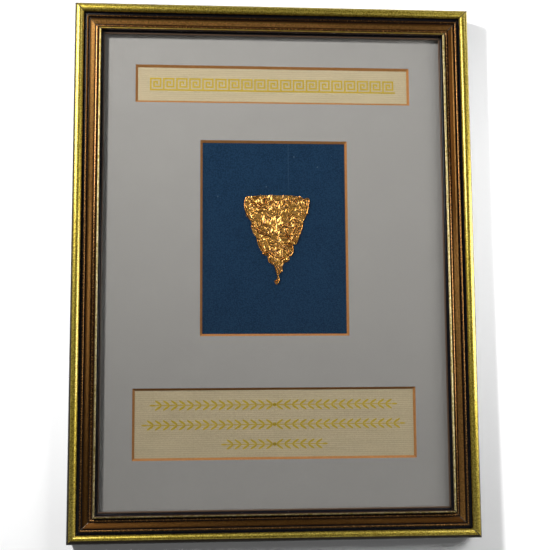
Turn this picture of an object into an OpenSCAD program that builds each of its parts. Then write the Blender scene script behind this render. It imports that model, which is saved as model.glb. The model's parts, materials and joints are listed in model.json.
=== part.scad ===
// Gold diadem leaf, mounted on a card in a glazed wall frame with a bevelled mat.
// Lies on its back: +Z is towards the viewer, +Y is up the picture.
// The origin is the middle of the back plane.

/* [Moulding across, from the outer face inwards] */
// Width of the half-round outer bead
bead_w = 5.4; // [4:0.1:8]
// Width of the black groove beside the bead
outer_groove_w = 1.35; // [0.8:0.05:3]
// Width of the thin copper ridge
outer_ridge_w = 1.2; // [0.8:0.05:2]
// Width of the groove behind the thin ridge
inner_groove_w = 0.65; // [0.4:0.05:2]
// Width of the sloping copper band
band_w = 3; // [2:0.1:6]
// Width of the scored line below the band
scored_line_w = 0.5; // [0.3:0.05:1.5]
// Width of the second copper ridge
inner_ridge_w = 1.2; // [0.8:0.05:2]
// Width of the dark step below the sight bead
dark_step_w = 1.15; // [0.6:0.05:3]
// Width of the raised sight bead
sight_bead_w = 1.45; // [1:0.05:3]
// Width of the black cove inside the sight bead
cove_w = 0.7; // [0.4:0.05:2]
// Width of the inner lip over the glass
lip_w = 0.9; // [0.6:0.05:2]

/* [Moulding heights, above the rebate] */
// Wood that runs under the whole section
body_rise = 1.2; // [0.8:0.05:1.3]
// Centre of the outer bead
bead_rise = 4.85; // [3:0.05:8]
// Floor of the black groove
outer_groove_rise = 3.3; // [1.5:0.05:4]
// Crest of the thin copper ridge
outer_ridge_rise = 4.75; // [3:0.05:7]
// Floor of the groove behind the thin ridge
inner_groove_rise = 3.1; // [1.5:0.05:4]
// Outer edge of the copper band
band_outer_rise = 3.85; // [2:0.05:6]
// Inner edge of the copper band
band_inner_rise = 2.25; // [1.5:0.05:5]
// Floor of the scored line and of the dark step
step_rise = 1.6; // [1:0.05:4]
// Crest of the second copper ridge
inner_ridge_rise = 2.3; // [1.6:0.05:5]
// Crest of the sight bead
sight_bead_rise = 5.25; // [3:0.05:8]
// Crest of the inner lip
lip_rise = 1.75; // [1:0.05:4]

/* [Rebate and stack] */
// Overlap of the moulding's lip on the glass and mat, with its clearance
rebate_w = 5.2; // [4:0.1:8]
// Clearance round the glass, mat and back board
edge_gap = 0.5; // [0.2:0.1:1]
// Clearance between the glass and the rebate
glass_gap = 0.15; // [0.05:0.05:0.3]
// Thickness of the glass
glass_t = 2; // [1.5:0.1:3]
// Thickness of the mat board
mat_t = 1.4; // [1.2:0.1:3]
// Thickness of the label cards and the blue card
card_t = 0.8; // [0.3:0.1:2]
// Thickness of the back board
board_t = 2.5; // [2:0.1:5]
// Depth of the back board below the back of the rails
board_recess = 2.3; // [1.5:0.1:6]
// Hairline between two rails at a mitre
mitre_gap = 0.06; // [0.02:0.01:0.2]

/* [Mat layout] */
// Mat showing at the left and right of the label windows
side_margin = 18.4; // [12:0.1:40]
// Mat showing above the top label window
top_margin = 17.8; // [12:0.1:40]
// Mat between the top label window and the centre window
upper_gap = 23.3; // [16:0.1:50]
// Mat between the centre window and the bottom label window
lower_gap = 30.7; // [16:0.1:50]
// Mat showing below the bottom label window
bottom_margin = 28.4; // [12:0.1:60]
// Width of both label windows, at the mat's face
label_w = 169.2; // [130:0.1:220]
// Height of the top label window
top_label_h = 23.6; // [15:0.1:40]
// Height of the bottom label window
bottom_label_h = 42.2; // [20:0.1:60]
// Width of the centre window
window_w = 90; // [70:0.5:120]
// Height of the centre window
window_h = 119.6; // [90:0.1:150]
// Lap of each card behind its window
card_lap = 6; // [3:0.5:7]

/* [Leaf] */
// Width across the top of the leaf
leaf_w = 40; // [30:0.5:60]
// Length from the top edge to the tip of the hooked stem
leaf_len = 55; // [40:0.5:80]
// Thickness of the beaten gold
leaf_t = 0.3; // [0.2:0.05:0.4]
// Clearance of the leaf from the card below and the glass above
leaf_gap = 0.05; // [0.02:0.01:0.1]
// Offset of the leaf to the right of the window's middle
leaf_dx = 1.7; // [-10:0.1:10]
// Offset of the leaf below the window's middle
leaf_dy = 1.5; // [-10:0.05:10]

/* [Back] */
// Width of a framer's point
point_w = 9; // [6:0.5:14]
// Thickness of a framer's point
point_t = 0.5; // [0.3:0.1:0.8]
// Depth of a framer's point in the rebate's wall
point_bite = 5; // [3:0.5:8]
// Reach of a framer's point over the back board
point_reach = 6; // [4:0.5:10]
// Clearance round a framer's point in its slot
point_gap = 0.05; // [0.02:0.01:0.1]
// Distance of the side rails' points from the middle of the rail
side_point_y = 88; // [60:1:88]
// Distance of the top and bottom rails' points from the middle of the rail
end_point_x = 54; // [30:1:70]
// Radius of the hanging hole in the back of the top rail
hang_r = 2.5; // [1.5:0.1:3.5]
// Depth of the hanging hole
hang_depth = 8; // [5:0.5:10]

/* [Hidden] */
round_fn = 48;
eps = 0.01;

// Levels above the back plane
board_z = board_recess;
card_z = board_z + board_t;
mat_z = card_z + card_t;
glass_z = mat_z + mat_t;
rebate_z = glass_z + glass_t + glass_gap;

// Places across the moulding
outer_groove_x = bead_w;
outer_ridge_x = outer_groove_x + outer_groove_w;
inner_groove_x = outer_ridge_x + outer_ridge_w;
band_x = inner_groove_x + inner_groove_w;
scored_line_x = band_x + band_w;
inner_ridge_x = scored_line_x + scored_line_w;
dark_step_x = inner_ridge_x + inner_ridge_w;
sight_bead_x = dark_step_x + dark_step_w;
cove_x = sight_bead_x + sight_bead_w;
lip_x = cove_x + cove_w;
rail_w = lip_x + lip_w;
rail_depth = rebate_z + bead_rise + bead_w / 2;
wall_w = rail_w - rebate_w;

// The mat's face and the whole frame
sight_w = label_w + 2 * side_margin;
sight_h = top_margin + top_label_h + upper_gap + window_h
        + lower_gap + bottom_label_h + bottom_margin;
frame_w = sight_w + 2 * rail_w;
frame_h = sight_h + 2 * rail_w;
sheet_w = frame_w - 2 * (wall_w + edge_gap);
sheet_h = frame_h - 2 * (wall_w + edge_gap);

// Middles of the three windows
top_label_y = sight_h / 2 - top_margin - top_label_h / 2;
window_y = top_label_y - top_label_h / 2 - upper_gap - window_h / 2;
bottom_label_y = window_y - window_h / 2 - lower_gap - bottom_label_h / 2;

// Leaf outline from the top edge down: share of the length, then the left and
// right edges as shares of half the width, from the stem's own line
LEAF_ROWS = [
    // down, left, right
    [0.000, -0.994, 0.974], [0.030, -1.011, 0.976], [0.060, -1.016, 0.966],
    [0.105, -1.021, 0.954], [0.147, -1.014, 0.949], [0.204, -0.976, 0.914],
    [0.224, -0.961, 0.872], [0.236, -0.956, 0.854], [0.244, -0.936, 0.849],
    [0.249, -0.904, 0.842], [0.262, -0.894, 0.827], [0.276, -0.849, 0.802],
    [0.307, -0.799, 0.779], [0.330, -0.804, 0.772], [0.352, -0.821, 0.757],
    [0.380, -0.791, 0.744], [0.411, -0.764, 0.729], [0.469, -0.661, 0.654],
    [0.533, -0.621, 0.589], [0.549, -0.606, 0.547], [0.554, -0.601, 0.472],
    [0.560, -0.596, 0.462], [0.596, -0.554, 0.474], [0.629, -0.486, 0.477],
    [0.655, -0.464, 0.447], [0.668, -0.446, 0.429], [0.675, -0.286, 0.419],
    [0.683, -0.301, 0.404], [0.688, -0.321, 0.344], [0.706, -0.311, 0.352],
    [0.724, -0.304, 0.349], [0.744, -0.289, 0.299], [0.752, -0.256, 0.234],
    [0.757, -0.226, 0.189], [0.773, -0.166, 0.174], [0.781, -0.111, 0.159],
    [0.805, -0.096, 0.132], [0.842, -0.081, 0.132], [0.860, -0.056, 0.092],
    [0.878, -0.036, 0.059], [0.888, -0.034, 0.019], [0.905, -0.034, 0.032],
    [0.923, -0.031, 0.047], [0.940, -0.041, 0.054], [0.950, -0.096, 0.052],
    [0.960, -0.118, 0.049], [0.970, -0.108, 0.024], [0.980, -0.078, -0.008],
    [0.990, -0.058, -0.026], [1.000, -0.053, -0.038],
];
// Dip of the top edge from its left end, 0, to its right end, 1, as a share of the length
TOP_EDGE = [
    // place along the edge, dip
    [0.000, 0.040], [0.029, 0.008], [0.059, 0.015], [0.088, 0.014], [0.160, 0.010],
    [0.210, 0.005], [0.300, 0.002], [0.400, 0.000], [0.700, 0.000], [0.750, 0.006],
    [0.820, 0.011], [0.850, 0.012], [0.875, 0.018], [0.900, 0.032], [0.925, 0.037],
    [0.950, 0.031], [0.970, 0.025], [0.985, 0.026], [1.000, 0.040],
];
leaf_axis_x = 0.008;      // stem's line, as a share of the width right of the leaf's middle
edge_fade = 6;            // how fast the dip fades down the leaf
leaf_step = 0.018;        // longest step down between two rows, share of the length
leaf_cols = 34;           // cells across a row

// Crumple of the beaten surface: nets of sharp-crested waves that cross
CRUMPLE = [
    // first direction, second direction, wavelength as a share of the length, phase, weight
    [72, 148, 0.115, 20, 0.55], [28, 101, 0.088, 140, 0.50], [118, 8, 0.100, 75, 0.45],
];
// Folds and creases: ends as shares of the length down and of half the width
// across, half-width as a share of the length, and height (a crease is below 0)
FOLDS = [
    // down, across, down, across, half-width, height
    [0.03, -0.93, 0.21, -0.92, 0.020, 0.50], [0.38, -0.70, 0.66, -0.46, 0.018, 0.45],
    [0.42, -0.62, 0.62, -0.42, 0.014, -0.35], [0.45, -0.42, 0.47, -0.10, 0.014, -0.40],
    [0.10, -0.42, 0.16, -0.10, 0.014, -0.45], [0.05, 0.93, 0.24, 0.86, 0.020, 0.50],
    [0.10, 0.68, 0.22, 0.80, 0.014, -0.40], [0.33, 0.74, 0.53, 0.56, 0.018, 0.55],
    [0.33, 0.52, 0.48, 0.38, 0.016, 0.45], [0.44, 0.12, 0.52, 0.36, 0.016, 0.45],
    [0.535, 0.12, 0.55, 0.48, 0.014, -0.35], [0.57, 0.42, 0.66, 0.44, 0.018, 0.45],
    [0.69, 0.10, 0.74, 0.30, 0.020, 0.35], [0.30, 0.00, 0.78, 0.02, 0.022, 0.20],
    [0.78, 0.00, 0.94, 0.03, 0.012, 0.35],
];
rim_share = 0.10;   // turned-up rim, as a share of half the row
rim_lift = 0.30;    // its height, as a share of the relief

// Places round the back of the framer's points: middle across, middle up, turn
POINTS = [
    for (side = [-1, 1], end = [1, -1])
        [side * (frame_w / 2 - wall_w), end * side_point_y, side > 0 ? 0 : 180],
    for (end = [1, -1], side = [-1, 1])
        [side * end_point_x, end * (frame_h / 2 - wall_w), end * 90],
];
point_z = board_z - point_t;

// A strip of the moulding's section, from its outer edge to its inner edge
module strip(x, w, rise) translate([x, 0]) square([w, rebate_z + rise]);

// A half-round of the section, with its crest at a height
module crest(x, w, rise) translate([x + w / 2, rebate_z + rise - w / 2]) circle(d = w, $fn = round_fn);

module moulding_section() {
    difference() {
        union() {
            strip(0, rail_w, body_rise);
            strip(0, bead_w, bead_rise);
            crest(0, bead_w, bead_rise + bead_w / 2);
            strip(outer_groove_x, outer_groove_w, outer_groove_rise);
            strip(outer_ridge_x, outer_ridge_w, outer_ridge_rise - outer_ridge_w / 2);
            crest(outer_ridge_x, outer_ridge_w, outer_ridge_rise);
            strip(inner_groove_x, inner_groove_w, inner_groove_rise);
            polygon([[band_x, 0], [scored_line_x, 0], [scored_line_x, rebate_z + band_inner_rise],
                     [band_x, rebate_z + band_outer_rise]]);
            strip(scored_line_x, scored_line_w, step_rise);
            strip(inner_ridge_x, inner_ridge_w, inner_ridge_rise - inner_ridge_w / 2);
            crest(inner_ridge_x, inner_ridge_w, inner_ridge_rise);
            strip(dark_step_x, dark_step_w, step_rise);
            strip(sight_bead_x, sight_bead_w, sight_bead_rise - sight_bead_w / 2);
            crest(sight_bead_x, sight_bead_w, sight_bead_rise);
            strip(cove_x, cove_w, lip_rise - lip_w / 2);
            strip(lip_x, lip_w, lip_rise - lip_w / 2);
            crest(lip_x, lip_w, lip_rise);
        }
        translate([wall_w, -eps]) square([rebate_w + eps, rebate_z + eps]);
    }
}

// One rail with its outer face on the X axis, cut to a mitre at both ends
module mitred_rail(length) {
    half = length / 2 - mitre_gap * sqrt(0.5);
    intersection() {
        rotate([90, 0, -90]) linear_extrude(length, center = true) moulding_section();
        translate([0, 0, -eps]) linear_extrude(rail_depth + 2 * eps)
            polygon([[-half, eps], [half, eps], [half - rail_w - 2 * eps, -rail_w - eps],
                     [-half + rail_w + 2 * eps, -rail_w - eps]]);
    }
}

// Slots for the framer's points, cut out of a rail
module with_slots() {
    difference() {
        children();
        for (i = [0 : len(POINTS) - 1]) point_slot(i);
    }
}

module point_slot(i)
    translate([POINTS[i][0], POINTS[i][1], point_z - point_gap]) rotate([0, 0, POINTS[i][2]])
        translate([-eps, -point_w / 2 - point_gap, 0])
            cube([point_bite + point_gap + eps, point_w + 2 * point_gap, point_t + 2 * point_gap]);

module rail_top() color("goldenrod") with_slots()
    difference() {
        translate([0, frame_h / 2, 0]) mitred_rail(frame_w);
        translate([0, frame_h / 2 - wall_w / 2, -eps]) cylinder(h = hang_depth + eps, r = hang_r, $fn = round_fn);
    }

module rail_bottom() color("goldenrod") with_slots()
    translate([0, -frame_h / 2, 0]) rotate([0, 0, 180]) mitred_rail(frame_w);

module rail_left() color("goldenrod") with_slots()
    translate([-frame_w / 2, 0, 0]) rotate([0, 0, 90]) mitred_rail(frame_h);

module rail_right() color("goldenrod") with_slots()
    translate([frame_w / 2, 0, 0]) rotate([0, 0, -90]) mitred_rail(frame_h);

// A sheet of the stack, centred at a height up the picture
module sheet(w, h, t, y, z) translate([-w / 2, y - h / 2, z]) cube([w, h, t]);

module glass() color("lightcyan", 0.3) sheet(sheet_w, sheet_h, glass_t, 0, glass_z);

// A window's cutter, at 45 degrees through the mat, w by h at the mat's face
module bevelled_cut(w, h, y) {
    low = mat_z - eps;
    high = mat_z + mat_t + eps;
    translate([0, y, 0]) intersection() {
        rotate([90, 0, 0]) linear_extrude(h + 2 * mat_t, center = true) bevel_section(w, low, high);
        rotate([90, 0, 90]) linear_extrude(w + 2 * mat_t, center = true) bevel_section(h, low, high);
    }
}

module bevel_section(span, low, high)
    polygon([[-span / 2 + mat_t + eps, low], [span / 2 - mat_t - eps, low],
             [span / 2 + eps, high], [-span / 2 - eps, high]]);

module mat() color("darkgray") difference() {
    sheet(sheet_w, sheet_h, mat_t, 0, mat_z);
    bevelled_cut(label_w, top_label_h, top_label_y);
    bevelled_cut(window_w, window_h, window_y);
    bevelled_cut(label_w, bottom_label_h, bottom_label_y);
}

// A card behind a window, wider than it by the lap all round
module card_behind(w, h, y) sheet(w + 2 * card_lap, h + 2 * card_lap, card_t, y, card_z);

module top_label() color("wheat") card_behind(label_w, top_label_h, top_label_y);

module bottom_label() color("wheat") card_behind(label_w, bottom_label_h, bottom_label_y);

module blue_card() color("midnightblue") card_behind(window_w, window_h, window_y);

module back_board() color("saddlebrown") sheet(sheet_w, sheet_h, board_t, 0, board_z);

module framers_point(i) color("silver")
    translate([POINTS[i][0], POINTS[i][1], point_z]) rotate([0, 0, POINTS[i][2]])
        linear_extrude(point_t) polygon([[-point_reach, -point_w / 2], [0, -point_w / 2],
            [point_bite, -point_w / 8], [point_bite, point_w / 8], [0, point_w / 2], [-point_reach, point_w / 2]]);

// Rows of the leaf, with steps added between the rows of the table
function steps_between(a, b) = max(1, ceil((b[0] - a[0]) / leaf_step));
leaf_sections = [
    for (i = [0 : len(LEAF_ROWS) - 2])
        let (a = LEAF_ROWS[i], b = LEAF_ROWS[i + 1], n = steps_between(a, b))
            for (k = [0 : n - 1]) a + (b - a) * k / n,
    LEAF_ROWS[len(LEAF_ROWS) - 1]
];
last_row = len(leaf_sections) - 1;

// Places on the leaf: down and across, in mm from the top edge and the stem's line
function leaf_down(row, u) =
    (leaf_sections[row][0] + lookup(u, TOP_EDGE)
        * max(0, 1 - leaf_sections[row][0] * edge_fade)) * leaf_len;
function leaf_across(row, u) =
    (leaf_sections[row][1] * (1 - u) + leaf_sections[row][2] * u) * leaf_w / 2;

// Sharp-crested wave between 0 and 1, along a direction on the leaf
function wave(d, a, direction, length, phase) =
    1 - abs(sin(180 / length * (d * sin(direction) + a * cos(direction)) + phase));
function crumple(d, a, i = 0) = i == len(CRUMPLE) ? 0 :
    let (c = CRUMPLE[i], bend = 50 * sin(1100 * (d * cos(c[1]) + a * sin(c[0])) + c[3]))
        c[4] * wave(d, a, c[0], c[2], c[3] + bend) * wave(d, a, c[1], c[2], c[3] - bend)
        + crumple(d, a, i + 1);
// Share of a fold that is felt at a place, by its distance from the fold's line
function fold_share(d, a, f) =
    let (p = [d - f[0], (a - f[1]) * leaf_w / leaf_len / 2],
         q = [f[2] - f[0], (f[3] - f[1]) * leaf_w / leaf_len / 2],
         t = min(1, max(0, (p * q) / (q * q))), e = p - q * t)
        exp(-(e * e) / (f[4] * f[4]));
function folds(d, a, i = 0) = i == len(FOLDS) ? 0 :
    FOLDS[i][5] * fold_share(d, a, FOLDS[i]) + folds(d, a, i + 1);
function rim(u) = rim_lift * max(0, 1 - min(u, 1 - u) / rim_share);

// Height of the beaten surface, from 0 at the card to 1 at the glass
function relief(row, u) =
    let (d = leaf_down(row, u) / leaf_len, a = leaf_across(row, u) / (leaf_w / 2))
        min(1, max(0, 0.05 + 0.85 * crumple(d, a * leaf_w / leaf_len / 2) + folds(d, a) + rim(u)));

module leaf() {
    lift = mat_t - leaf_t - 2 * leaf_gap;
    across = leaf_cols + 1;
    // The face's points row by row, then the back's
    points = [for (side = [1, 0]) for (row = [0 : last_row]) for (c = [0 : leaf_cols])
        let (u = c / leaf_cols)
            [leaf_across(row, u), -leaf_down(row, u), lift * relief(row, u) + side * leaf_t]];
    back = (last_row + 1) * across;
    cells = [for (row = [0 : last_row - 1]) for (c = [0 : leaf_cols - 1]) row * across + c];
    faces = concat(
        [for (k = cells) [k, k + 1, k + across + 1]],
        [for (k = cells) [k, k + across + 1, k + across]],
        [for (k = cells) [back + k, back + k + across + 1, back + k + 1]],
        [for (k = cells) [back + k, back + k + across, back + k + across + 1]],
        [for (c = [0 : leaf_cols - 1]) [c, back + c, back + c + 1, c + 1]],
        [for (c = [0 : leaf_cols - 1]) let (k = last_row * across + c) [k + 1, back + k + 1, back + k, k]],
        [for (row = [0 : last_row - 1]) let (k = row * across) [k + across, back + k + across, back + k, k]],
        [for (row = [0 : last_row - 1]) let (k = row * across + leaf_cols)
            [k, back + k, back + k + across, k + across]]
    );
    color("gold") translate([leaf_dx + leaf_axis_x * leaf_w, window_y - leaf_dy + leaf_len / 2, mat_z + leaf_gap])
        polyhedron(points, faces);
}

rail_top();
rail_bottom();
rail_left();
rail_right();
glass();
mat();
top_label();
bottom_label();
blue_card();
leaf();
back_board();
framers_point(0);  // point_1
framers_point(1);  // point_2
framers_point(2);  // point_3
framers_point(3);  // point_4
framers_point(4);  // point_5
framers_point(5);  // point_6
framers_point(6);  // point_7
framers_point(7);  // point_8
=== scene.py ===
"""Gold diadem leaf on a blue card, in a glazed picture frame with a bevelled mat."""

import json
import math

import bmesh
import bpy
import numpy as np
from mathutils import Matrix, Vector


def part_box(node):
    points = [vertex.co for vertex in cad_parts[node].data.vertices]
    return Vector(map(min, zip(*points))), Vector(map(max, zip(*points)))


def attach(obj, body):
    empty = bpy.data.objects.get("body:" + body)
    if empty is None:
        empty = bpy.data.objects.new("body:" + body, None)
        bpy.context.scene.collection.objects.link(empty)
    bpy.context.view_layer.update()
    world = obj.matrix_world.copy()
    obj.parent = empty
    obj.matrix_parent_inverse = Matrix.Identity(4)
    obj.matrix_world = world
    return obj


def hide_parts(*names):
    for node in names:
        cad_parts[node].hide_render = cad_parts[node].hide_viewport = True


bl_info = {
    "name": "Framed diadem leaf",
    "version": (1, 0, 0),
    "blender": (4, 5, 0),
    "location": "View3D > Sidebar > Framed leaf",
    "description": "Dresses a gold diadem leaf, its mat and its picture frame",
    "category": "Object",
}

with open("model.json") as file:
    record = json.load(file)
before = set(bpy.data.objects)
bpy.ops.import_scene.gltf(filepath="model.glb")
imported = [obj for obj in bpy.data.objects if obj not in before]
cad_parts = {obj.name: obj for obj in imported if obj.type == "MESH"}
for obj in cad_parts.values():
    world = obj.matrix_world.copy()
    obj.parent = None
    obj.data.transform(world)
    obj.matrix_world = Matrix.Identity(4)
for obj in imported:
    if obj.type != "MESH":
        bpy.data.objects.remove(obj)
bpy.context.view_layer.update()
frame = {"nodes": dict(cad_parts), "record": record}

MM = 0.001

# The whole frame and its levels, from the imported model
BACK_LOW, BACK_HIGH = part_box("rail_left")
FRAME_W = 2 * max(abs(BACK_LOW.x), abs(BACK_HIGH.x))
FRAME_H = 2 * max(abs(BACK_LOW.y), abs(BACK_HIGH.y))
SHEET_LOW, SHEET_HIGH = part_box("mat")
GLASS_LOW, GLASS_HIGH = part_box("glass")
CARD_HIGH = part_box("blue_card")[1]
BOARD_LOW, BOARD_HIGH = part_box("back_board")
LEAF_LOW, LEAF_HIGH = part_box("leaf")
POINTS = [name for name in sorted(frame["nodes"]) if name.startswith("point_")]

# Coincident faces of the stack are kept this far apart, so that neither shows through
HAIR = 0.00002


# Sizes and colours that a user would change

def length(name, description, default):
    """A length in metres, given here in millimetres."""
    return bpy.props.FloatProperty(name=name, description=description, default=default * MM,
                                   unit="LENGTH", precision=5)


def colour(name, description, default):
    """A surface colour, linear."""
    return bpy.props.FloatVectorProperty(name=name, description=description, default=default,
                                         subtype="COLOR", size=3, min=0, max=1)


class MouldingSizes(bpy.types.PropertyGroup):
    bead: length("Bead", "Width of the half-round outer bead", 5.4)
    outer_groove: length("Outer groove", "Width of the black groove beside the bead", 1.35)
    outer_ridge: length("Outer ridge", "Width of the thin copper ridge", 1.2)
    inner_groove: length("Inner groove", "Width of the groove behind the thin ridge", 0.65)
    band: length("Band", "Width of the sloping copper band", 3.0)
    line: length("Scored line", "Width of the scored line below the band", 0.5)
    inner_ridge: length("Inner ridge", "Width of the second copper ridge", 1.2)
    step: length("Dark step", "Width of the dark step below the sight bead", 1.15)
    sight_bead: length("Sight bead", "Width of the raised gold sight bead", 1.45)
    cove: length("Cove", "Width of the black cove inside the sight bead", 0.7)
    lip: length("Lip", "Width of the inner lip over the glass", 0.9)
    rebate: length("Rebate", "Overlap of the lip on the glass", 5.2)
    bead_rise: length("Bead rise", "Centre of the bead above the rebate", 4.85)
    outer_groove_rise: length("Outer groove rise", "Floor of the black groove above the rebate", 3.3)
    outer_ridge_rise: length("Outer ridge rise", "Crest of the thin ridge above the rebate", 4.75)
    inner_groove_rise: length("Inner groove rise", "Floor of the inner groove above the rebate", 3.1)
    band_outer_rise: length("Band outer rise", "Outer edge of the band above the rebate", 3.85)
    band_inner_rise: length("Band inner rise", "Inner edge of the band above the rebate", 2.25)
    step_rise: length("Step rise", "Floor of the scored line and the step above the rebate", 1.6)
    inner_ridge_rise: length("Inner ridge rise", "Crest of the second ridge above the rebate", 2.3)
    sight_bead_rise: length("Sight bead rise", "Crest of the sight bead above the rebate", 5.25)
    lip_rise: length("Lip rise", "Crest of the inner lip above the rebate", 1.75)
    softness: length("Softness", "Rounding of the corners between the members", 0.16)
    glass_gap: length("Glass gap", "Clearance of the rebate above the glass", 0.15)
    mitre_gap: length("Mitre gap", "Hairline between two rails", 0.06)


class MatSizes(bpy.types.PropertyGroup):
    card_lap: length("Card lap", "Lap of each card behind its window", 6.0)
    face_round: length("Face rounding", "Rounding of the mat's face at a bevel", 0.07)


class LeafSizes(bpy.types.PropertyGroup):
    cell: length("Cell", "Spacing of the points over the leaf", 0.17)
    thickness: length("Thickness", "Thickness of the beaten gold", 0.12)
    clearance: length("Clearance", "Clearance of the leaf from card and glass", 0.06)
    fold_pitch: length("Facet pitch", "Spacing of the corners of the facets", 2.5)
    fold_rise: length("Facet rise", "Height of the facets' corners", 0.9)


class LabelSizes(bpy.types.PropertyGroup):
    key_cell: length("Key stroke", "Stroke of the key pattern on the top label", 1.0)
    key_run: length("Key run", "Length of the key pattern", 151.0)
    sprig_pitch: length("Sprig pitch", "Spacing of the leaf pairs on the bottom label", 4.7)
    sprig_leaf: length("Sprig leaf", "Length of a printed leaf", 4.3)
    row_pitch: length("Row pitch", "Spacing of the garlands", 11.6)
    ink: length("Ink", "Thickness of the gold ink", 0.03)


class FinishColours(bpy.types.PropertyGroup):
    gilt: colour("Gilt", "Gold of the outer bead", (0.79, 0.63, 0.105))
    # The worn gilt also paints shade on the sight bead.
    gilt_worn_and_shade: colour("Worn gilt", "Toned gold of the outer bead", (0.32, 0.215, 0.012))
    sight_gilt: colour("Sight gilt", "Pale gold of the sight bead", (0.86, 0.74, 0.42))
    copper: colour("Copper", "Copper of the ridges and the band", (0.56, 0.28, 0.085))
    copper_bright: colour("Bright copper", "Fresh copper of the band", (0.90, 0.45, 0.125))
    # The dark copper also paints shade on the band and the thin ridge.
    copper_dark: colour("Dark copper", "Toned copper of the band", (0.05, 0.019, 0.004))
    lacquer: colour("Lacquer", "Black lacquer of the grooves and sides", (0.004, 0.004, 0.006))
    umber: colour("Umber", "Brown of the step and the scored line", (0.022, 0.008, 0.002))
    lip: colour("Lip brown", "Brown of the inner lip", (0.055, 0.032, 0.019))
    mat: colour("Mat", "Warm grey face of the mat", (0.190, 0.179, 0.170))
    core: colour("Core", "Orange-brown core of the mat", (0.20, 0.082, 0.022))
    paper: colour("Paper", "Cream paper of the labels", (0.285, 0.232, 0.148))
    blue: colour("Blue card", "Dark blue of the centre card", (0.0020, 0.0105, 0.0260))
    gold: colour("Beaten gold", "Gold of the leaf", (0.88, 0.43, 0.075))
    # Painted shade for the creases of the leaf.
    gold_in_crease_shade: colour("Gold in creases", "Brown gold deep in the folds", (0.045, 0.010, 0.001))
    ink: colour("Gold ink", "Gold ink on the labels", (0.27, 0.185, 0.004))
    hardboard: colour("Hardboard", "Brown of the back board", (0.16, 0.075, 0.032))
    steel: colour("Steel", "Plated steel of the points", (0.55, 0.55, 0.57))
    wood: colour("Bare wood", "Wood of the rails' backs", (0.42, 0.27, 0.13))
    floor: colour("Floor", "Pale floor", (0.97, 0.97, 0.97))
    # The colour below is real dirt in the joints and also painted shade at the foot of the bead.
    dirt_and_foot_shade: colour("Dirt", "Dirt at the foot of the bead and in the joints", (0.012, 0.008, 0.003))
    pit: colour("Pits", "Dark pits in the gilding", (0.018, 0.012, 0.004))
    filler: colour("Filler", "Rubbed filler along the mitres", (0.28, 0.24, 0.19))
    wood_grain: colour("Wood grain", "Dark grain of the bare wood", (0.21, 0.115, 0.045))
    mat_spot: colour("Mat spots", "Brown spots on the mat", (0.07, 0.06, 0.05))
    core_pale: colour("Pale core", "Pale pulp in the mat's core", (0.33, 0.15, 0.05))
    fleck: colour("Flecks", "Brown flecks in the paper", (0.16, 0.10, 0.045))
    blue_grain: colour("Blue grain", "Paler grain of the blue card", (0.0062, 0.022, 0.049))
    rub: colour("Rub", "Faint rub on the blue card", (0.04, 0.07, 0.11))
    dust: colour("Dust", "Pale dust on the blue card", (0.12, 0.16, 0.20))
    ink_pale: colour("Pale ink", "Where the gold ink is thick", (0.34, 0.23, 0.03))
    board_pale: colour("Pale board", "Pale fibres of the back board", (0.26, 0.14, 0.07))
    steel_dark: colour("Dark steel", "Rolling marks of the points", (0.30, 0.29, 0.28))
    floor_shade: colour("Floor shade", "The floor under the key light", (0.50, 0.50, 0.50))
    glass: colour("Glass", "What the glass lets through", (0.985, 0.992, 0.988))


class FramedLeaf(bpy.types.PropertyGroup):
    moulding: bpy.props.PointerProperty(type=MouldingSizes, name="Moulding")
    mat: bpy.props.PointerProperty(type=MatSizes, name="Mat")
    leaf: bpy.props.PointerProperty(type=LeafSizes, name="Leaf")
    label: bpy.props.PointerProperty(type=LabelSizes, name="Labels")
    colours: bpy.props.PointerProperty(type=FinishColours, name="Colours")


def settings():
    """The sizes and colours, as they are set in the scene."""
    return bpy.context.scene.framed_leaf


def rebate_level():
    """Height of the rebate's face, which the rise of each member is measured from."""
    return GLASS_HIGH.z + settings().moulding.glass_gap


# Shader maths

class Value:
    """A socket that Python arithmetic works on, each operation adding a Math node."""

    def __init__(self, finish, socket):
        self.finish = finish
        self.socket = socket

    def _math(self, operation, first, second=0.0):
        return self.finish.node("ShaderNodeMath", {"operation": operation}, {0: first, 1: second})

    def __add__(self, other):
        return self._math("ADD", self, other)

    def __radd__(self, other):
        return self._math("ADD", other, self)

    def __sub__(self, other):
        return self._math("SUBTRACT", self, other)

    def __rsub__(self, other):
        return self._math("SUBTRACT", other, self)

    def __mul__(self, other):
        return self._math("MULTIPLY", self, other)

    def __rmul__(self, other):
        return self._math("MULTIPLY", other, self)

    def __abs__(self):
        return self._math("ABSOLUTE", self)

    def __lt__(self, other):
        return self._math("LESS_THAN", self, other)

    def __gt__(self, other):
        return self._math("GREATER_THAN", self, other)

    def at_most(self, other):
        return self._math("MINIMUM", self, other)

    def at_least(self, other):
        return self._math("MAXIMUM", self, other)

    def sine(self):
        return self._math("SINE", self)


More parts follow.
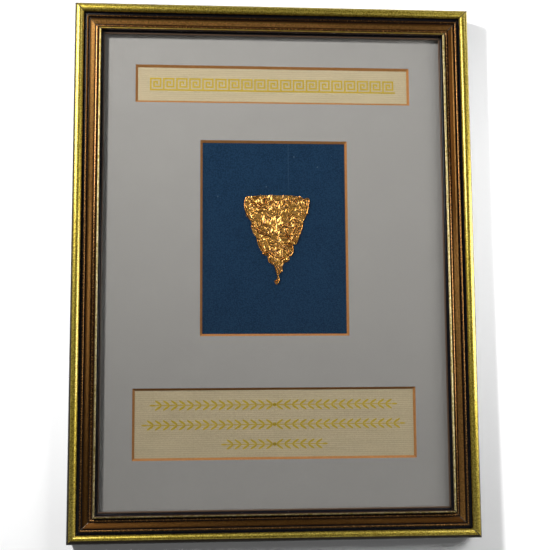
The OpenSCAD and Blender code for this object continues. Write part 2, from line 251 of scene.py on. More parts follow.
class Finish:
    """One material, with Principled as its shader."""

    def __init__(self, name):
        self.material = bpy.data.materials.new(name)
        self.material.use_nodes = True
        self.tree = self.material.node_tree
        self.shader = self.tree.nodes["Principled BSDF"]
        self.output = self.tree.nodes["Material Output"]

    def node(self, kind, choices=None, inputs=None, output=0):
        """A node with its choices set, its inputs given values or links, and one output as a Value."""
        node = self.tree.nodes.new(kind)
        for name, choice in (choices or {}).items():
            setattr(node, name, choice)
        for name, value in (inputs or {}).items():
            self.give(node.inputs[name], value)
        return Value(self, node.outputs[output])

    def give(self, socket, value):
        """Links a Value to a socket, or sets a plain number or colour on it."""
        if isinstance(value, Value):
            self.tree.links.new(value.socket, socket)
        elif socket.type == "RGBA":
            socket.default_value = rgba(value)
        else:
            socket.default_value = value

    def set(self, **values):
        """Gives values to the Principled shader's sockets, named with underscores."""
        for name, value in values.items():
            self.give(self.shader.inputs[name.replace("_", " ")], value)

    def place(self):
        """Place on the piece in millimetres."""
        coords = self.node("ShaderNodeTexCoord", output="Object")
        return self.node("ShaderNodeVectorMath", {"operation": "SCALE"}, {0: coords, "Scale": 1000.0})

    def parts(self, vector):
        """The x, y and z of a vector."""
        node = self.tree.nodes.new("ShaderNodeSeparateXYZ")
        self.give(node.inputs[0], vector)
        return [Value(self, socket) for socket in node.outputs]

    def point(self, x, y, z):
        """A vector of three parts."""
        return self.node("ShaderNodeCombineXYZ", None, {0: x, 1: y, 2: z})

    def stretched(self, vector, scale):
        """A vector scaled along each axis by its own factor."""
        return self.node("ShaderNodeMapping", None, {"Vector": vector, "Scale": scale})

    def noise(self, vector, scale, detail=2.0, roughness=0.5, distortion=0.0):
        """A cloudy pattern from 0 to 1, the scale in clouds to a millimetre."""
        return self.node("ShaderNodeTexNoise", None,
                         {"Vector": vector, "Scale": scale, "Detail": detail,
                          "Roughness": roughness, "Distortion": distortion})

    def specks(self, vector, scale, rim, core, rarity, channel=0, ragged=0.0):
        """Spots in cells picked by chance, full within the core's distance and gone at the rim's."""
        gap = self.node("ShaderNodeTexVoronoi", None, {"Vector": vector, "Scale": scale}, "Distance")
        chance = self.node("ShaderNodeTexVoronoi", None, {"Vector": vector, "Scale": scale}, "Color")
        return self.span(gap + ragged, rim, core) * (self.parts(chance)[channel] > rarity)

    def span(self, value, low, high):
        """0 at low, 1 at high, smooth between them."""
        return self.node("ShaderNodeMapRange", {"interpolation_type": "SMOOTHSTEP"},
                         {"Value": value, "From Min": low, "From Max": high})

    def mix(self, share, first, second, blend="MIX"):
        """Colour mix."""
        return self.node("ShaderNodeMix", {"data_type": "RGBA", "blend_type": blend},
                         {0: share, 6: first, 7: second}, 2)

    def toned(self, colour, tone):
        """A colour made paler or darker by a factor."""
        grey = self.node("ShaderNodeCombineColor", None, {0: tone, 1: tone, 2: tone})
        return self.mix(1.0, colour, grey, "MULTIPLY")

    def blend(self, share, first, second):
        """Number mix."""
        return self.node("ShaderNodeMix", {"data_type": "FLOAT"}, {0: share, 2: first, 3: second}, 0)

    def bump(self, height, depth, strength=1.0):
        """Raises the surface in the shader by a height between 0 and 1, over a depth in millimetres."""
        normal = self.node("ShaderNodeBump", None,
                           {"Height": height, "Distance": depth * MM, "Strength": strength})
        self.give(self.shader.inputs["Normal"], normal)


def rgba(shade):
    """A colour with its alpha, from a grey or from three parts."""
    if isinstance(shade, (int, float)):
        return (shade, shade, shade, 1.0)
    return (*tuple(shade)[:3], 1.0)


def new_finish(name):
    """A finish, the colours, the place on the piece and its x, y and z in millimetres."""
    finish = Finish(name)
    place = finish.place()
    return finish, settings().colours, place, finish.parts(place)


# Finishes

MEMBERS = ("bead", "outer_groove", "outer_ridge", "inner_groove", "band", "line",
           "inner_ridge", "step", "sight_bead", "cove", "lip")


def member_edges():
    """Each member's outer and inner edge in mm from the outside of the rail."""
    edges = {}
    edge = 0.0
    for name in MEMBERS:
        width = getattr(settings().moulding, name) / MM
        edges[name] = (edge, edge + width)
        edge += width
    return edges


class Rails:
    """Places on the moulding: how far across a rail, in mm, and which rail it is."""

    def __init__(self, finish, x, y):
        self.finish = finish
        side_gap = FRAME_W / 2 / MM - abs(x)
        end_gap = FRAME_H / 2 / MM - abs(y)
        self.across = side_gap.at_most(end_gap)
        self.mitre_gap = abs(side_gap - end_gap) * math.sqrt(0.5)
        self.on_end = end_gap < side_gap
        self.leftward = x < 0.0
        self.downward = y < 0.0
        self.left = (1 - self.on_end) * self.leftward
        self.low = self.on_end * self.downward
        self.top = self.on_end * (y > 0.0)

    def each(self, left, right, top, low):
        """A value of its own for each rail."""
        sides = self.finish.blend(self.leftward, right, left)
        ends = self.finish.blend(self.downward, top, low)
        return self.finish.blend(self.on_end, sides, ends)


def copper_band(finish, tint, rails, x, y, lane, tone):
    """The band's copper, with painted light and shade rail by rail: a painted highlight at the top left,
    painted shade at the foot.
    """
    start = member_edges()["band"][0]
    # Painted light and shade: the band is darkened rail by rail and along each rail, least at the top
    # left and most on the bottom rail; the right rail is darker towards its top and on its inner part.
    inner_painted_shade = finish.span(lane, start + 0.8, start + 1.3) * 0.4 + 0.6
    toned = rails.each(left=finish.span(y, 150.0, -60.0) * 0.60 + 0.27,
                       right=(1.0 - finish.span(y, 45.0, -45.0) * 0.66) * inner_painted_shade,
                       top=finish.span(x, -30.0, 110.0) * 0.72,
                       low=finish.span(abs(x), 40.0, 110.0) * 0.10 + 0.88)
    mottled = finish.mix(0.5, tint.copper_bright, tint.copper_dark)
    bright = finish.mix(tone, mottled, tint.copper_bright)
    band = finish.mix(toned, bright, tint.copper_dark)
    thin_shade = finish.span(lane, start + 0.25, start + 0.6)
    wide_shade = finish.span(lane, start + 0.1, start + 1.6)
    lit = finish.blend(rails.left.at_least(rails.top), thin_shade, wide_shade)
    return finish.mix(lit, tint.copper_dark, band)


def moulding_finish():
    """Gilt, copper and black lacquer by the place across the moulding."""
    finish, tint, place, (x, y, z) = new_finish("moulding finish")
    sizes = settings().moulding
    marks = member_edges()
    rails = Rails(finish, x, y)
    slow_wave = (finish.noise(place, 0.35, 2.0) - 0.5) * 0.16
    wobble = slow_wave + (finish.noise(place, 2.2, 1.0) - 0.5) * 0.07
    lane = rails.across + wobble

    # Mottled gilding, worn through to a darker tone
    along = finish.blend(rails.on_end, y, x)
    mottle = finish.noise(place, 1.15, 4.0, 0.66)
    streak = finish.noise(finish.point(rails.across, along * 0.12, z), 2.6, 3.0, 0.6)
    fine = finish.noise(place, 5.5, 3.0, 0.6)
    tone = finish.span(mottle * 0.65 + streak * 0.25 + fine * 0.10, 0.40, 0.60)
    # The dark foot of the bead: partly the black of its side, partly painted shade, widened on the
    # bottom rail and towards the left and the lower part of the frame.
    foot = rails.across + wobble * 0.5 + x * 0.003 + y * 0.002 - rails.low * 1.1
    gilt_clear_of_foot_shade = finish.span(foot, 0.70, 1.40)
    gilt = finish.mix(gilt_clear_of_foot_shade, tint.dirt_and_foot_shade, finish.mix(tone, tint.gilt_worn_and_shade, tint.gilt))
    sight = finish.mix(tone, finish.mix(0.1, tint.gilt_worn_and_shade, tint.sight_gilt), tint.sight_gilt)
    # Painted shade: the sight bead is darkened on the top rail and on the upper part of the left rail.
    sight_painted_shade = rails.top * 0.8 + rails.left * finish.span(y, 50.0, 130.0) * 0.5
    sight = finish.mix(sight_painted_shade, sight, tint.gilt_worn_and_shade)
    copper = finish.mix(tone, finish.mix(0.55, tint.copper, tint.copper_dark), tint.copper)
    # Painted light and shade: the thin ridge's copper is darkened rail by rail, most at the upper left
    # and on the top rail, least on the right rail.
    ridge_painted_shade = rails.each(left=finish.span(y, 40.0, 110.0) * 0.4 + 0.5, right=0.15, top=0.7, low=0.25)
    thin_ridge = finish.mix(ridge_painted_shade, copper, tint.copper_dark)
    band = copper_band(finish, tint, rails, x, y, lane, tone)

    def between(name, inset_low, inset_high):
        """1 on a member between its insets."""
        low, high = marks[name]
        soft = 0.06
        rise = finish.span(lane, low + inset_low - soft, low + inset_low + soft)
        fall = finish.span(lane, high - inset_high - soft, high - inset_high + soft)
        return rise * (1 - fall)

    # Where each member's paint lies
    groove_floor = (rebate_level() + sizes.outer_groove_rise) / MM
    above_groove = finish.span(z + wobble, groove_floor - 0.1, groove_floor + 0.25)
    on_bead = (lane < marks["bead"][1] - 0.1) * above_groove
    on_ridge = between("outer_ridge", 0.10, 0.12)
    on_inner = between("inner_ridge", 0.08, 0.08)
    end_sight = between("sight_bead", 0.04, 0.55)
    on_sight = rails.each(left=between("sight_bead", 0.04, 0.30),
                          right=between("sight_bead", 0.04, 0.15), top=end_sight, low=end_sight)
    on_band = between("band", 0.02, 0.02)
    on_lip = finish.span(lane, marks["lip"][0] - 0.05, marks["lip"][0] + 0.12)
    brown = finish.span(lane, marks["inner_groove"][0], marks["inner_groove"][0] + 0.15)
    brown = brown * (1 - finish.span(lane, marks["cove"][0] - 0.1, marks["cove"][0]))
    base = finish.mix(brown, tint.lacquer, tint.umber)
    for share, shade in ((on_bead, gilt), (on_ridge, thin_ridge), (on_band, band),
                         (on_inner, copper), (on_sight, sight), (on_lip, tint.lip)):
        base = finish.mix(share, base, shade)

    # Dark pits and specks in the gold
    pits = finish.specks(place, 0.55, 0.21, 0.09, 0.66, ragged=(fine - 0.5) * 0.12)
    metal = on_bead.at_least(on_ridge).at_least(on_band).at_least(on_inner).at_least(on_sight)
    base = finish.mix(pits * 0.85, base, tint.pit)
    metallic = metal * (1 - pits * 0.8) * gilt_clear_of_foot_shade

    # Rubbed filler along the mitres at the lower left, dirt in those at the upper right
    corner = finish.span(x + y, 40.0, -200.0)
    patchy = finish.span(finish.noise(place, 0.9, 1.0), 0.50, 0.62)
    rubbed = finish.span(rails.mitre_gap + (fine - 0.5) * 0.25, 0.20, 0.06) * patchy
    rubbed = rubbed * corner * (rails.across < marks["lip"][1] - 1.2)
    base = finish.mix(rubbed * 0.8, base, tint.filler)
    joint = finish.span(rails.mitre_gap + (fine - 0.5) * 0.12, 0.50, 0.30)
    joint = joint * finish.span(corner, 0.6, 0.4) * 0.85
    base = finish.mix(joint, base, tint.dirt_and_foot_shade)
    metallic = metallic * (1 - rubbed) * (1 - joint)

    satin = finish.blend(on_inner.at_least(on_ridge), 0.31, 0.26)
    satin = finish.blend(on_sight, finish.blend(on_bead, satin, 0.39), 0.50)
    rough = finish.blend(metal, 0.22, satin) + (mottle - 0.5) * 0.16 + pits * 0.3 + on_lip * 0.12
    rough = finish.blend(gilt_clear_of_foot_shade, 0.6, rough.at_least(0.12))
    finish.set(Base_Color=base, Metallic=metallic, Roughness=rough, Specular_IOR_Level=0.4,
               Coat_Weight=metallic * (on_bead * 0.9 + on_inner * 0.4), Coat_Roughness=0.12)
    finish.bump(fine * 0.4 + streak * 0.4 + mottle * 0.5 - pits * 0.9, 0.035, 0.8)
    return finish.material


def bare_wood_finish():
    """Straight-grained pale wood of the rails' backs and rebates."""
    finish, tint, _, (x, y, z) = new_finish("bare wood")
    rails = Rails(finish, x, y)
    along = finish.blend(rails.on_end, y, x)
    across = finish.blend(rails.on_end, x, y)
    grain = finish.point(across, along * 0.05, z)
    rings = finish.noise(grain, 0.9, 4.0, 0.6, 0.6)
    pores = finish.noise(finish.point(across * 4.0, along * 0.25, z * 4.0), 1.2, 2.0)
    dark = finish.span(rings, 0.35, 0.65) * 0.55 + finish.span(pores, 0.60, 0.72) * 0.3
    base = finish.mix(dark, tint.wood, tint.wood_grain)
    finish.set(Base_Color=base, Roughness=0.62 + pores * 0.2)
    finish.bump(rings * 0.5 + pores * 0.5, 0.08)
    return finish.material


def mat_face_finish():
    """Warm grey paper face with a fine tooth."""
    finish, tint, place = new_finish("mat face")[:3]
    tooth = finish.noise(place, 1.6, 4.0, 0.65)
    cloud = finish.noise(place, 0.06, 2.0)
    fibre = finish.noise(finish.stretched(place, (0.4, 2.0, 1.0)), 1.4, 2.0)
    tone = 0.865 + tooth * 0.25 + (cloud - 0.5) * 0.07 + (fibre - 0.5) * 0.10
    spots = finish.specks(place, 0.07, 0.040, 0.022, 0.80)
    base = finish.mix(spots * 0.45, finish.toned(tint.mat, tone), tint.mat_spot)
    finish.set(Base_Color=base, Roughness=0.88, Specular_IOR_Level=0.25)
    finish.bump(tooth * 0.7 + fibre * 0.3, 0.06)
    return finish.material


def mat_core_finish():
    """Cut orange-brown pulp of the mat's core."""
    finish, tint, _, (x, y, z) = new_finish("mat core")
    pulp = finish.noise(finish.point(x * 0.35, y * 0.35, z * 3.0), 1.6, 3.0, 0.6)
    base = finish.mix(finish.span(pulp, 0.3, 0.7) * 0.55, tint.core, tint.core_pale)
    finish.set(Base_Color=base, Roughness=0.9, Specular_IOR_Level=0.2)
    finish.bump(pulp, 0.06)
    return finish.material


def laid_paper_finish():
    """Cream laid paper: close level lines, wide-set upright lines, and clouds of pulp."""
    finish, tint, place, (x, y, z) = new_finish("laid paper")
    drift = finish.noise(place, 0.05, 2.0) * 1.6
    laid_pitch = 1.25
    chain_pitch = 24.0
    laid = (y * (2 * math.pi / laid_pitch) + drift * 2.0).sine()
    chain = finish.span(abs((x * (math.pi / chain_pitch) + drift * 0.1).sine()), 0.10, 0.0)
    pulp = finish.noise(place, 0.9, 4.0, 0.65)
    cloud = finish.noise(finish.point(x * 0.25, y * 1.4, z), 0.16, 3.0)
    tone = 0.96 + laid * 0.055 - chain * 0.03 + (pulp - 0.5) * 0.38 + (cloud - 0.5) * 0.18
    flecks = finish.span(finish.noise(finish.point(x * 0.6, y * 1.8, z), 2.4, 1.0), 0.70, 0.76)
    base = finish.mix(flecks * 0.20, finish.toned(tint.paper, tone), tint.fleck)
    finish.set(Base_Color=base, Roughness=0.85, Specular_IOR_Level=0.25)
    finish.bump(laid * 0.25 + pulp * 0.5, 0.05)
    return finish.material


def blue_card_finish():
    """Dark blue card with a fine grain, a faint upright rub and a few pale specks."""
    finish, tint, place, (x, y, _) = new_finish("blue card")
    grain = finish.noise(place, 1.3, 3.0, 0.7)
    cloud = finish.noise(place, 0.11, 3.0)
    share = finish.span(grain, 0.42, 0.60) * 0.95 + finish.span(cloud, 0.3, 0.7) * 0.18
    base = finish.mix(share, tint.blue, tint.blue_grain)
    rub_x = 8.8
    rub = finish.span(abs(x - rub_x + (cloud - 0.5) * 0.6), 0.55, 0.0) * finish.span(y, 44.0, 52.0)
    base = finish.mix(rub * 0.20, base, tint.rub)
    dust = finish.specks(place, 0.16, 0.085, 0.04, 0.90, channel=1)
    base = finish.mix(dust * 0.35, base, tint.dust)
    finish.set(Base_Color=base, Roughness=0.9, Specular_IOR_Level=0.12)
    finish.bump(grain, 0.05)
    return finish.material


def gold_ink_finish():
    """Matt gold ink on the label paper."""
    finish, tint, place = new_finish("gold ink")[:3]
    grain = finish.noise(place, 1.7, 3.0, 0.7)
    base = finish.mix(finish.span(grain, 0.3, 0.7) * 0.5, tint.ink, tint.ink_pale)
    finish.set(Base_Color=base, Roughness=0.6 + grain * 0.1, Metallic=0.15)
    finish.bump(grain, 0.02)
    return finish.material


def beaten_gold_finish():
    """Old beaten gold, bright on the crests, with painted shade that makes it brown in the creases."""
    finish, tint, place = new_finish("beaten gold")[:3]
    crease = finish.node("ShaderNodeAttribute", {"attribute_name": "crease"}, output="Fac")
    cloud = finish.noise(place, 0.5, 3.0, 0.6)
    fine = finish.noise(place, 4.0, 3.0, 0.65)
    # Painted shade in the creases, mixed with a random cloudy tone.
    crease_shade_and_tone = (finish.span(crease, -0.1, 0.9) + (cloud - 0.5) * 0.4).at_least(0.0).at_most(1.0)
    base = finish.mix(crease_shade_and_tone, tint.gold, tint.gold_in_crease_shade)
    finish.set(Base_Color=base, Metallic=0.91, Roughness=0.18 + fine * 0.12 + crease_shade_and_tone * 0.15,
               Coat_Weight=1.0, Coat_Roughness=0.15)
    finish.bump(fine, 0.03, 0.7)
    return finish.material


def glass_finish():
    """Clear picture glass: what is behind shows through, and lamps mirror by the angle."""
    finish = Finish("picture glass")
    clear = finish.node("ShaderNodeBsdfTransparent", None, {"Color": settings().colours.glass})
    mirror = finish.node("ShaderNodeBsdfAnisotropic", None, {"Color": 1.0, "Roughness": 0.03})
    slant = finish.node("ShaderNodeLayerWeight", None, {"Blend": 0.5}, 1)
    square = slant * slant
    mirrored = square * square * slant * 0.9 + 0.035
    both = finish.node("ShaderNodeMixShader", None, {0: mirrored, 1: clear, 2: mirror})
    finish.tree.nodes.remove(finish.shader)
    finish.tree.links.new(both.socket, finish.output.inputs["Surface"])
    return finish.material


def hardboard_finish():
    """Brown hardboard: pressed fibres and the imprint of the screen on its back."""
    finish, tint, place, (x, y, _) = new_finish("hardboard")
    fibres = finish.noise(place, 1.1, 5.0, 0.7, 0.8)
    waves = 2 * math.pi / 1.6
    screen = (x * waves).sine() * (y * waves).sine()
    base = finish.mix(finish.span(fibres, 0.35, 0.7), tint.hardboard, tint.board_pale)
    finish.set(Base_Color=base, Roughness=0.75 + fibres * 0.15)
    finish.bump(screen * 0.25 + fibres * 0.6, 0.15)
    return finish.material


def plated_steel_finish():
    """Dull plated steel with faint rolling marks."""
    finish, tint, place = new_finish("plated steel")[:3]
    rolled = finish.noise(finish.stretched(place, (0.3, 5.0, 1.0)), 1.6, 3.0, 0.6)
    base = finish.mix(rolled * 0.4, tint.steel, tint.steel_dark)
    finish.set(Base_Color=base, Metallic=1.0, Roughness=0.34 + rolled * 0.16)
    finish.bump(rolled, 0.01)
    return finish.material


def floor_finish():
    """Plain pale floor, greyer towards the key light, so that it looks even under it."""
    finish, tint, place, (x, y, _) = new_finish("floor")
    nearness = finish.span(y - x * 0.7, -50.0, 270.0)
    grain = finish.noise(place, 0.4, 2.0)
    base = finish.mix(nearness + grain * 0.03, tint.floor, tint.floor_shade)
    finish.set(Base_Color=base, Roughness=0.9, Specular_IOR_Level=0.1)
    return finish.material


# Modelling by hand, in code

def nothing_selected():
    """Leaves edit mode and deselects everything."""
    if bpy.context.object and bpy.context.object.mode != "OBJECT":
        bpy.ops.object.mode_set(mode="OBJECT")
    bpy.ops.object.select_all(action="DESELECT")


def only(piece):
    """Selects one piece and makes it active."""
    nothing_selected()
    piece.select_set(True)
    bpy.context.view_layer.objects.active = piece


def edit(piece):
    """Opens a piece for editing, with all of it selected."""
    only(piece)
    bpy.ops.object.mode_set(mode="EDIT")
    bpy.ops.mesh.select_mode(type="VERT")
    bpy.ops.mesh.select_all(action="SELECT")


def done():
    """Closes the piece that is being edited."""
    bpy.ops.object.mode_set(mode="OBJECT")


def draw_out(x, y, z):
    """In edit mode, extrudes what is selected."""
    bpy.ops.mesh.extrude_region_move(TRANSFORM_OT_translate={"value": (x, y, z)})


def shift(piece, x, y, z):
    """Moves a piece's mesh, not its origin."""
    edit(piece)
    bpy.ops.transform.translate(value=(x, y, z))
    done()


def select_where(piece, kind, test):
    """In edit mode, selects just the faces, edges or vertices that pass a test."""
    bpy.ops.mesh.select_all(action="DESELECT")
    bpy.ops.mesh.select_mode(type=kind)
    shape = bmesh.from_edit_mesh(piece.data)
    for element in {"FACE": shape.faces, "EDGE": shape.edges, "VERT": shape.verts}[kind]:
        if test(element):
            element.select_set(True)
    shape.select_flush_mode()
    bmesh.update_edit_mesh(piece.data)


def middle(edge):
    """Middle of an edge."""
    return (edge.verts[0].co + edge.verts[1].co) / 2


def named(name):
    """Names the active piece and its mesh."""
    piece = bpy.context.object
    piece.name = name
    piece.data.name = name
    return piece


def settle(piece):
    """Puts a piece's place into its mesh."""
    only(piece)
    bpy.ops.object.transform_apply(location=True, rotation=True, scale=True)


def flat(name, centre, extent, columns=1, rows=1):
    """A level sheet of cells about a middle."""
    nothing_selected()
    bpy.ops.mesh.primitive_grid_add(x_subdivisions=columns, y_subdivisions=rows, size=1)
    piece = named(name)
    piece.scale = (extent[0], extent[1], 1)
    piece.location = centre
    settle(piece)
    return piece


def block(name, centre, extent):
    """A plain block about a middle."""
    nothing_selected()
    bpy.ops.mesh.primitive_cube_add(size=1)
    piece = named(name)
    piece.scale = extent
    piece.location = centre
    settle(piece)
    return piece


def copy_of(piece, name):
    """A copy with its own mesh."""
    only(piece)
    bpy.ops.object.duplicate(linked=False)
    return named(name)


def apply_modifier(piece, kind, **choices):
    """Adds a modifier, sets it and applies it."""
    only(piece)
    bpy.ops.object.modifier_add(type=kind)
    modifier = piece.modifiers[-1]
    for name, choice in choices.items():
        setattr(modifier, name, choice)
    bpy.ops.object.modifier_apply(modifier=modifier.name)


def smooth(piece, degrees):
    """Shades a piece smooth but for edges sharper than an angle."""
    only(piece)
    bpy.ops.object.shade_smooth_by_angle(angle=math.radians(degrees))


def outward(piece):
    """Merges doubles and turns all faces outwards."""
    edit(piece)
    bpy.ops.mesh.remove_doubles(threshold=1e-6)
    bpy.ops.mesh.normals_make_consistent(inside=False)
    done()


def thicken(piece, height):
    """Draws a flat sheet out into a slab, upwards or, below nought, downwards."""
    edit(piece)
    draw_out(0, 0, height)
    done()
    outward(piece)


def break_edges(piece, width, segments=1):
    """Takes the sharpness off all edges of a slab."""
    edit(piece)
    bpy.ops.mesh.bevel(offset=width, segments=segments, affect="EDGES")
    done()


def cut_away(piece, cutter):
    """Takes the cutter's solid out of a piece and deletes the cutter."""
    apply_modifier(piece, "BOOLEAN", object=cutter, operation="DIFFERENCE", solver="EXACT")
    bpy.data.objects.remove(cutter)


def give(piece, *materials):
    """Adds materials to a piece."""
    for material in materials:
        piece.data.materials.append(material)


def second_material(piece, test):
    """Gives a piece's second material to the faces that pass a test."""
    edit(piece)
    select_where(piece, "FACE", test)
    piece.active_material_index = 1
    bpy.ops.object.material_slot_assign()
    done()


def finish_piece(piece, slot, *nodes):
    """A finished piece rides on the body and stands for its nodes; the slot is not used."""
    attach(piece, "root")
    if nodes:
        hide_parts(*nodes)


def finish_group(operator):
    """Ends an operator."""
    operator.report({"INFO"}, operator.bl_label + " made")
    return {"FINISHED"}


# The moulding

def arc(centre, radius, start, end, steps):
    """Points of an arc from one angle to another, in degrees."""
    turn = [math.radians(start + (end - start) * k / steps) for k in range(steps + 1)]
    return [(centre[0] + radius * math.cos(a), centre[1] + radius * math.sin(a)) for a in turn]


def softened(corners, radius):
    """A chain of straight corners, each but the ends rounded by a small arc."""
    chain = [corners[0]]
    for before, here, after in zip(corners, corners[1:], corners[2:]):
        to_before = Vector(before) - Vector(here)
        to_after = Vector(after) - Vector(here)
        reach = min(radius, to_before.length * 0.45, to_after.length * 0.45)
        first = Vector(here) + to_before.normalized() * reach
        last = Vector(here) + to_after.normalized() * reach
        for k in range(4):
            t = k / 3
            curve = first * (1 - t) ** 2 + Vector(here) * 2 * t * (1 - t) + last * t ** 2
            chain.append(tuple(curve))
    chain.append(corners[-1])
    return chain


def moulding_outline():
    """The section, from its outer back corner over the face to its rebate, in metres."""
    size = settings().moulding
    seat = rebate_level()
    floor = seat + size.step_rise
    chamfer = 0.4 * MM
    outline = [(chamfer, 0.0), (0.0, chamfer)]

    def crest(x, width, middle_level, steps):
        """A half-round top. Returns where it ends."""
        outline.extend(arc((x + width / 2, middle_level), width / 2, 180, 0, steps))
        return x + width

    def hollow(x, level, width, far_top, rounding):
        """A groove with a flat floor, up to where the next member starts. Returns where it ends."""
        corners = [outline.pop(), (x, level), (x + width, level), (x + width, far_top)]
        outline.extend(softened(corners, rounding)[:-1])
        return x + width

    x = crest(0.0, size.bead, seat + size.bead_rise, 28)
    ridge_middle = seat + size.outer_ridge_rise - size.outer_ridge / 2
    x = hollow(x, seat + size.outer_groove_rise, size.outer_groove, ridge_middle, size.softness)
    x = crest(x, size.outer_ridge, ridge_middle, 12)
    band_top = seat + size.band_outer_rise
    x = hollow(x, seat + size.inner_groove_rise, size.inner_groove, band_top, size.softness)
    band_fall = seat + size.band_inner_rise - band_top
    steps = 10
    for k in range(steps + 1):
        share = k / steps
        outline.append((x + size.band * share, band_top + band_fall * share ** 1.1))
    x += size.band
    ridge_middle = seat + size.inner_ridge_rise - size.inner_ridge / 2
    x = hollow(x, floor, size.line, max(floor, ridge_middle), size.softness * 0.6)
    x = crest(x, size.inner_ridge, ridge_middle, 12)
    sight_middle = seat + size.sight_bead_rise - size.sight_bead / 2
    x = hollow(x, floor, size.step, sight_middle, size.softness * 0.6)
    x = crest(x, size.sight_bead, sight_middle, 14)
    lip_middle = seat + size.lip_rise - size.lip / 2
    outline += arc((x + size.cove, lip_middle + size.cove), size.cove, 180, 270, 8)[:-1]
    rail = crest(x + size.cove, size.lip, lip_middle, 12)
    wall = rail - size.rebate
    outline += [(rail, seat), (wall, seat), (wall, 0.0)]
    return outline


def section_piece():
    """The section as one face in the plane across a rail, drawn point by point by extruding."""
    outline = moulding_outline()
    nothing_selected()
    bpy.ops.mesh.primitive_plane_add(size=MM, location=(0, -outline[0][0], outline[0][1]))
    piece = named("moulding_section")
    settle(piece)
    edit(piece)
    bpy.ops.mesh.merge(type="CENTER")
    for (x1, z1), (x2, z2) in zip(outline, outline[1:]):
        step = (0, x1 - x2, z2 - z1)
        bpy.ops.mesh.extrude_vertices_move(TRANSFORM_OT_translate={"value": step})
    bpy.ops.mesh.select_all(action="SELECT")
    bpy.ops.mesh.remove_doubles(threshold=1e-7)
    bpy.ops.mesh.edge_face_add()
    done()
    return piece


def rail_from(section, name, run, turn, offset):
    """A rail: the section drawn out to its length, mitred at both ends and turned into place."""
    size = settings().moulding
    piece = copy_of(section, name)
    edit(piece)
    bpy.ops.transform.translate(value=(-run / 2, 0, 0))
    draw_out(run, 0, 0)
    gap = size.mitre_gap / 2 * math.sqrt(2)
    for side in (-1, 1):
        bpy.ops.mesh.select_all(action="SELECT")
        bpy.ops.mesh.bisect(plane_co=(side * (run / 2 - gap), 0, 0), plane_no=(side, -1, 0),
                            use_fill=True, clear_outer=True)
    done()
    outward(piece)
    piece.rotation_euler = (0, 0, turn)
    piece.location = offset
    settle(piece)
    return piece


def bare_back(piece):
    """Bare wood on the back of a rail and in its rebate."""
    seat = rebate_level()

    def bare(face):
        level = face.calc_center_median().z
        faces_down = face.normal.z < -0.9 and level < seat + HAIR
        return faces_down or level < seat and wall_face(face)

    second_material(piece, bare)


def wall_face(face):
    """True for the rebate's upright wall."""
    place = face.calc_center_median()
    wall = member_edges()["lip"][1] * MM - settings().moulding.rebate
    across = min(FRAME_W / 2 - abs(place.x), FRAME_H / 2 - abs(place.y))
    return abs(across - wall) < 0.1 * MM and abs(face.normal.z) < 0.1


def point_cutter(name):
    """A thin block for the slot of a framer's point in the rebate's wall."""
    low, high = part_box(name)
    slack = 0.05 * MM
    return block("slot_cutter", (low + high) / 2, high - low + Vector((1, 1, 1)) * 2 * slack)


class FRAMEDLEAF_OT_rails(bpy.types.Operator):
    """Draws the four rails of the moulding and cuts their mitres, slots and hanging hole"""
    bl_idname = "framedleaf.rails"
    bl_label = "Rails"

    def execute(self, context):
        section = section_piece()
        paint = moulding_finish()
        wood = bare_wood_finish()
        half_w = FRAME_W / 2
        half_h = FRAME_H / 2
        rails = {
            "rail_top": (FRAME_W, 0, (0, half_h, 0)),
            "rail_bottom": (FRAME_W, math.pi, (0, -half_h, 0)),
            "rail_left": (FRAME_H, math.pi / 2, (-half_w, 0, 0)),
            "rail_right": (FRAME_H, -math.pi / 2, (half_w, 0, 0)),
        }
        for name, (run, turn, offset) in rails.items():
            piece = rail_from(section, "shown_" + name, run, turn, offset)
            give(piece, paint, wood)
            bare_back(piece)
            low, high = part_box(name)
            for point in POINTS:
                near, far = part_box(point)
                if near.x < high.x and far.x > low.x and near.y < high.y and far.y > low.y:
                    cut_away(piece, point_cutter(point))
            if name == "rail_top":
                cut_away(piece, hanging_drill())
            smooth(piece, 32)
            finish_piece(piece, "moulding", name)
        bpy.data.objects.remove(section)
        return finish_group(self)


def hanging_drill():
    """A drill for the hanging hole, from the record's mount."""
    mount = next(m for m in frame["record"]["mounts"] if m["name"] == "hanging_hole")
    radius = mount["dims"]["r_mm"] * MM
    depth = mount["dims"]["length_mm"] * MM
    x, y = mount["pos_m"][:2]
    nothing_selected()
    bpy.ops.mesh.primitive_cylinder_add(vertices=48, radius=radius, depth=depth + MM,
                                        location=(x, y, depth / 2 - MM / 2))
    drill = named("hanging_drill")
    settle(drill)
    return drill


# The mat

def windows():
    """Each window's middle and its size at the mat's face."""
    lap = settings().mat.card_lap
    found = {}
    for name in ("top_label", "blue_card", "bottom_label"):
        low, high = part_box(name)
        found[name] = ((low + high) / 2, high.x - low.x - 2 * lap, high.y - low.y - 2 * lap)
    return found


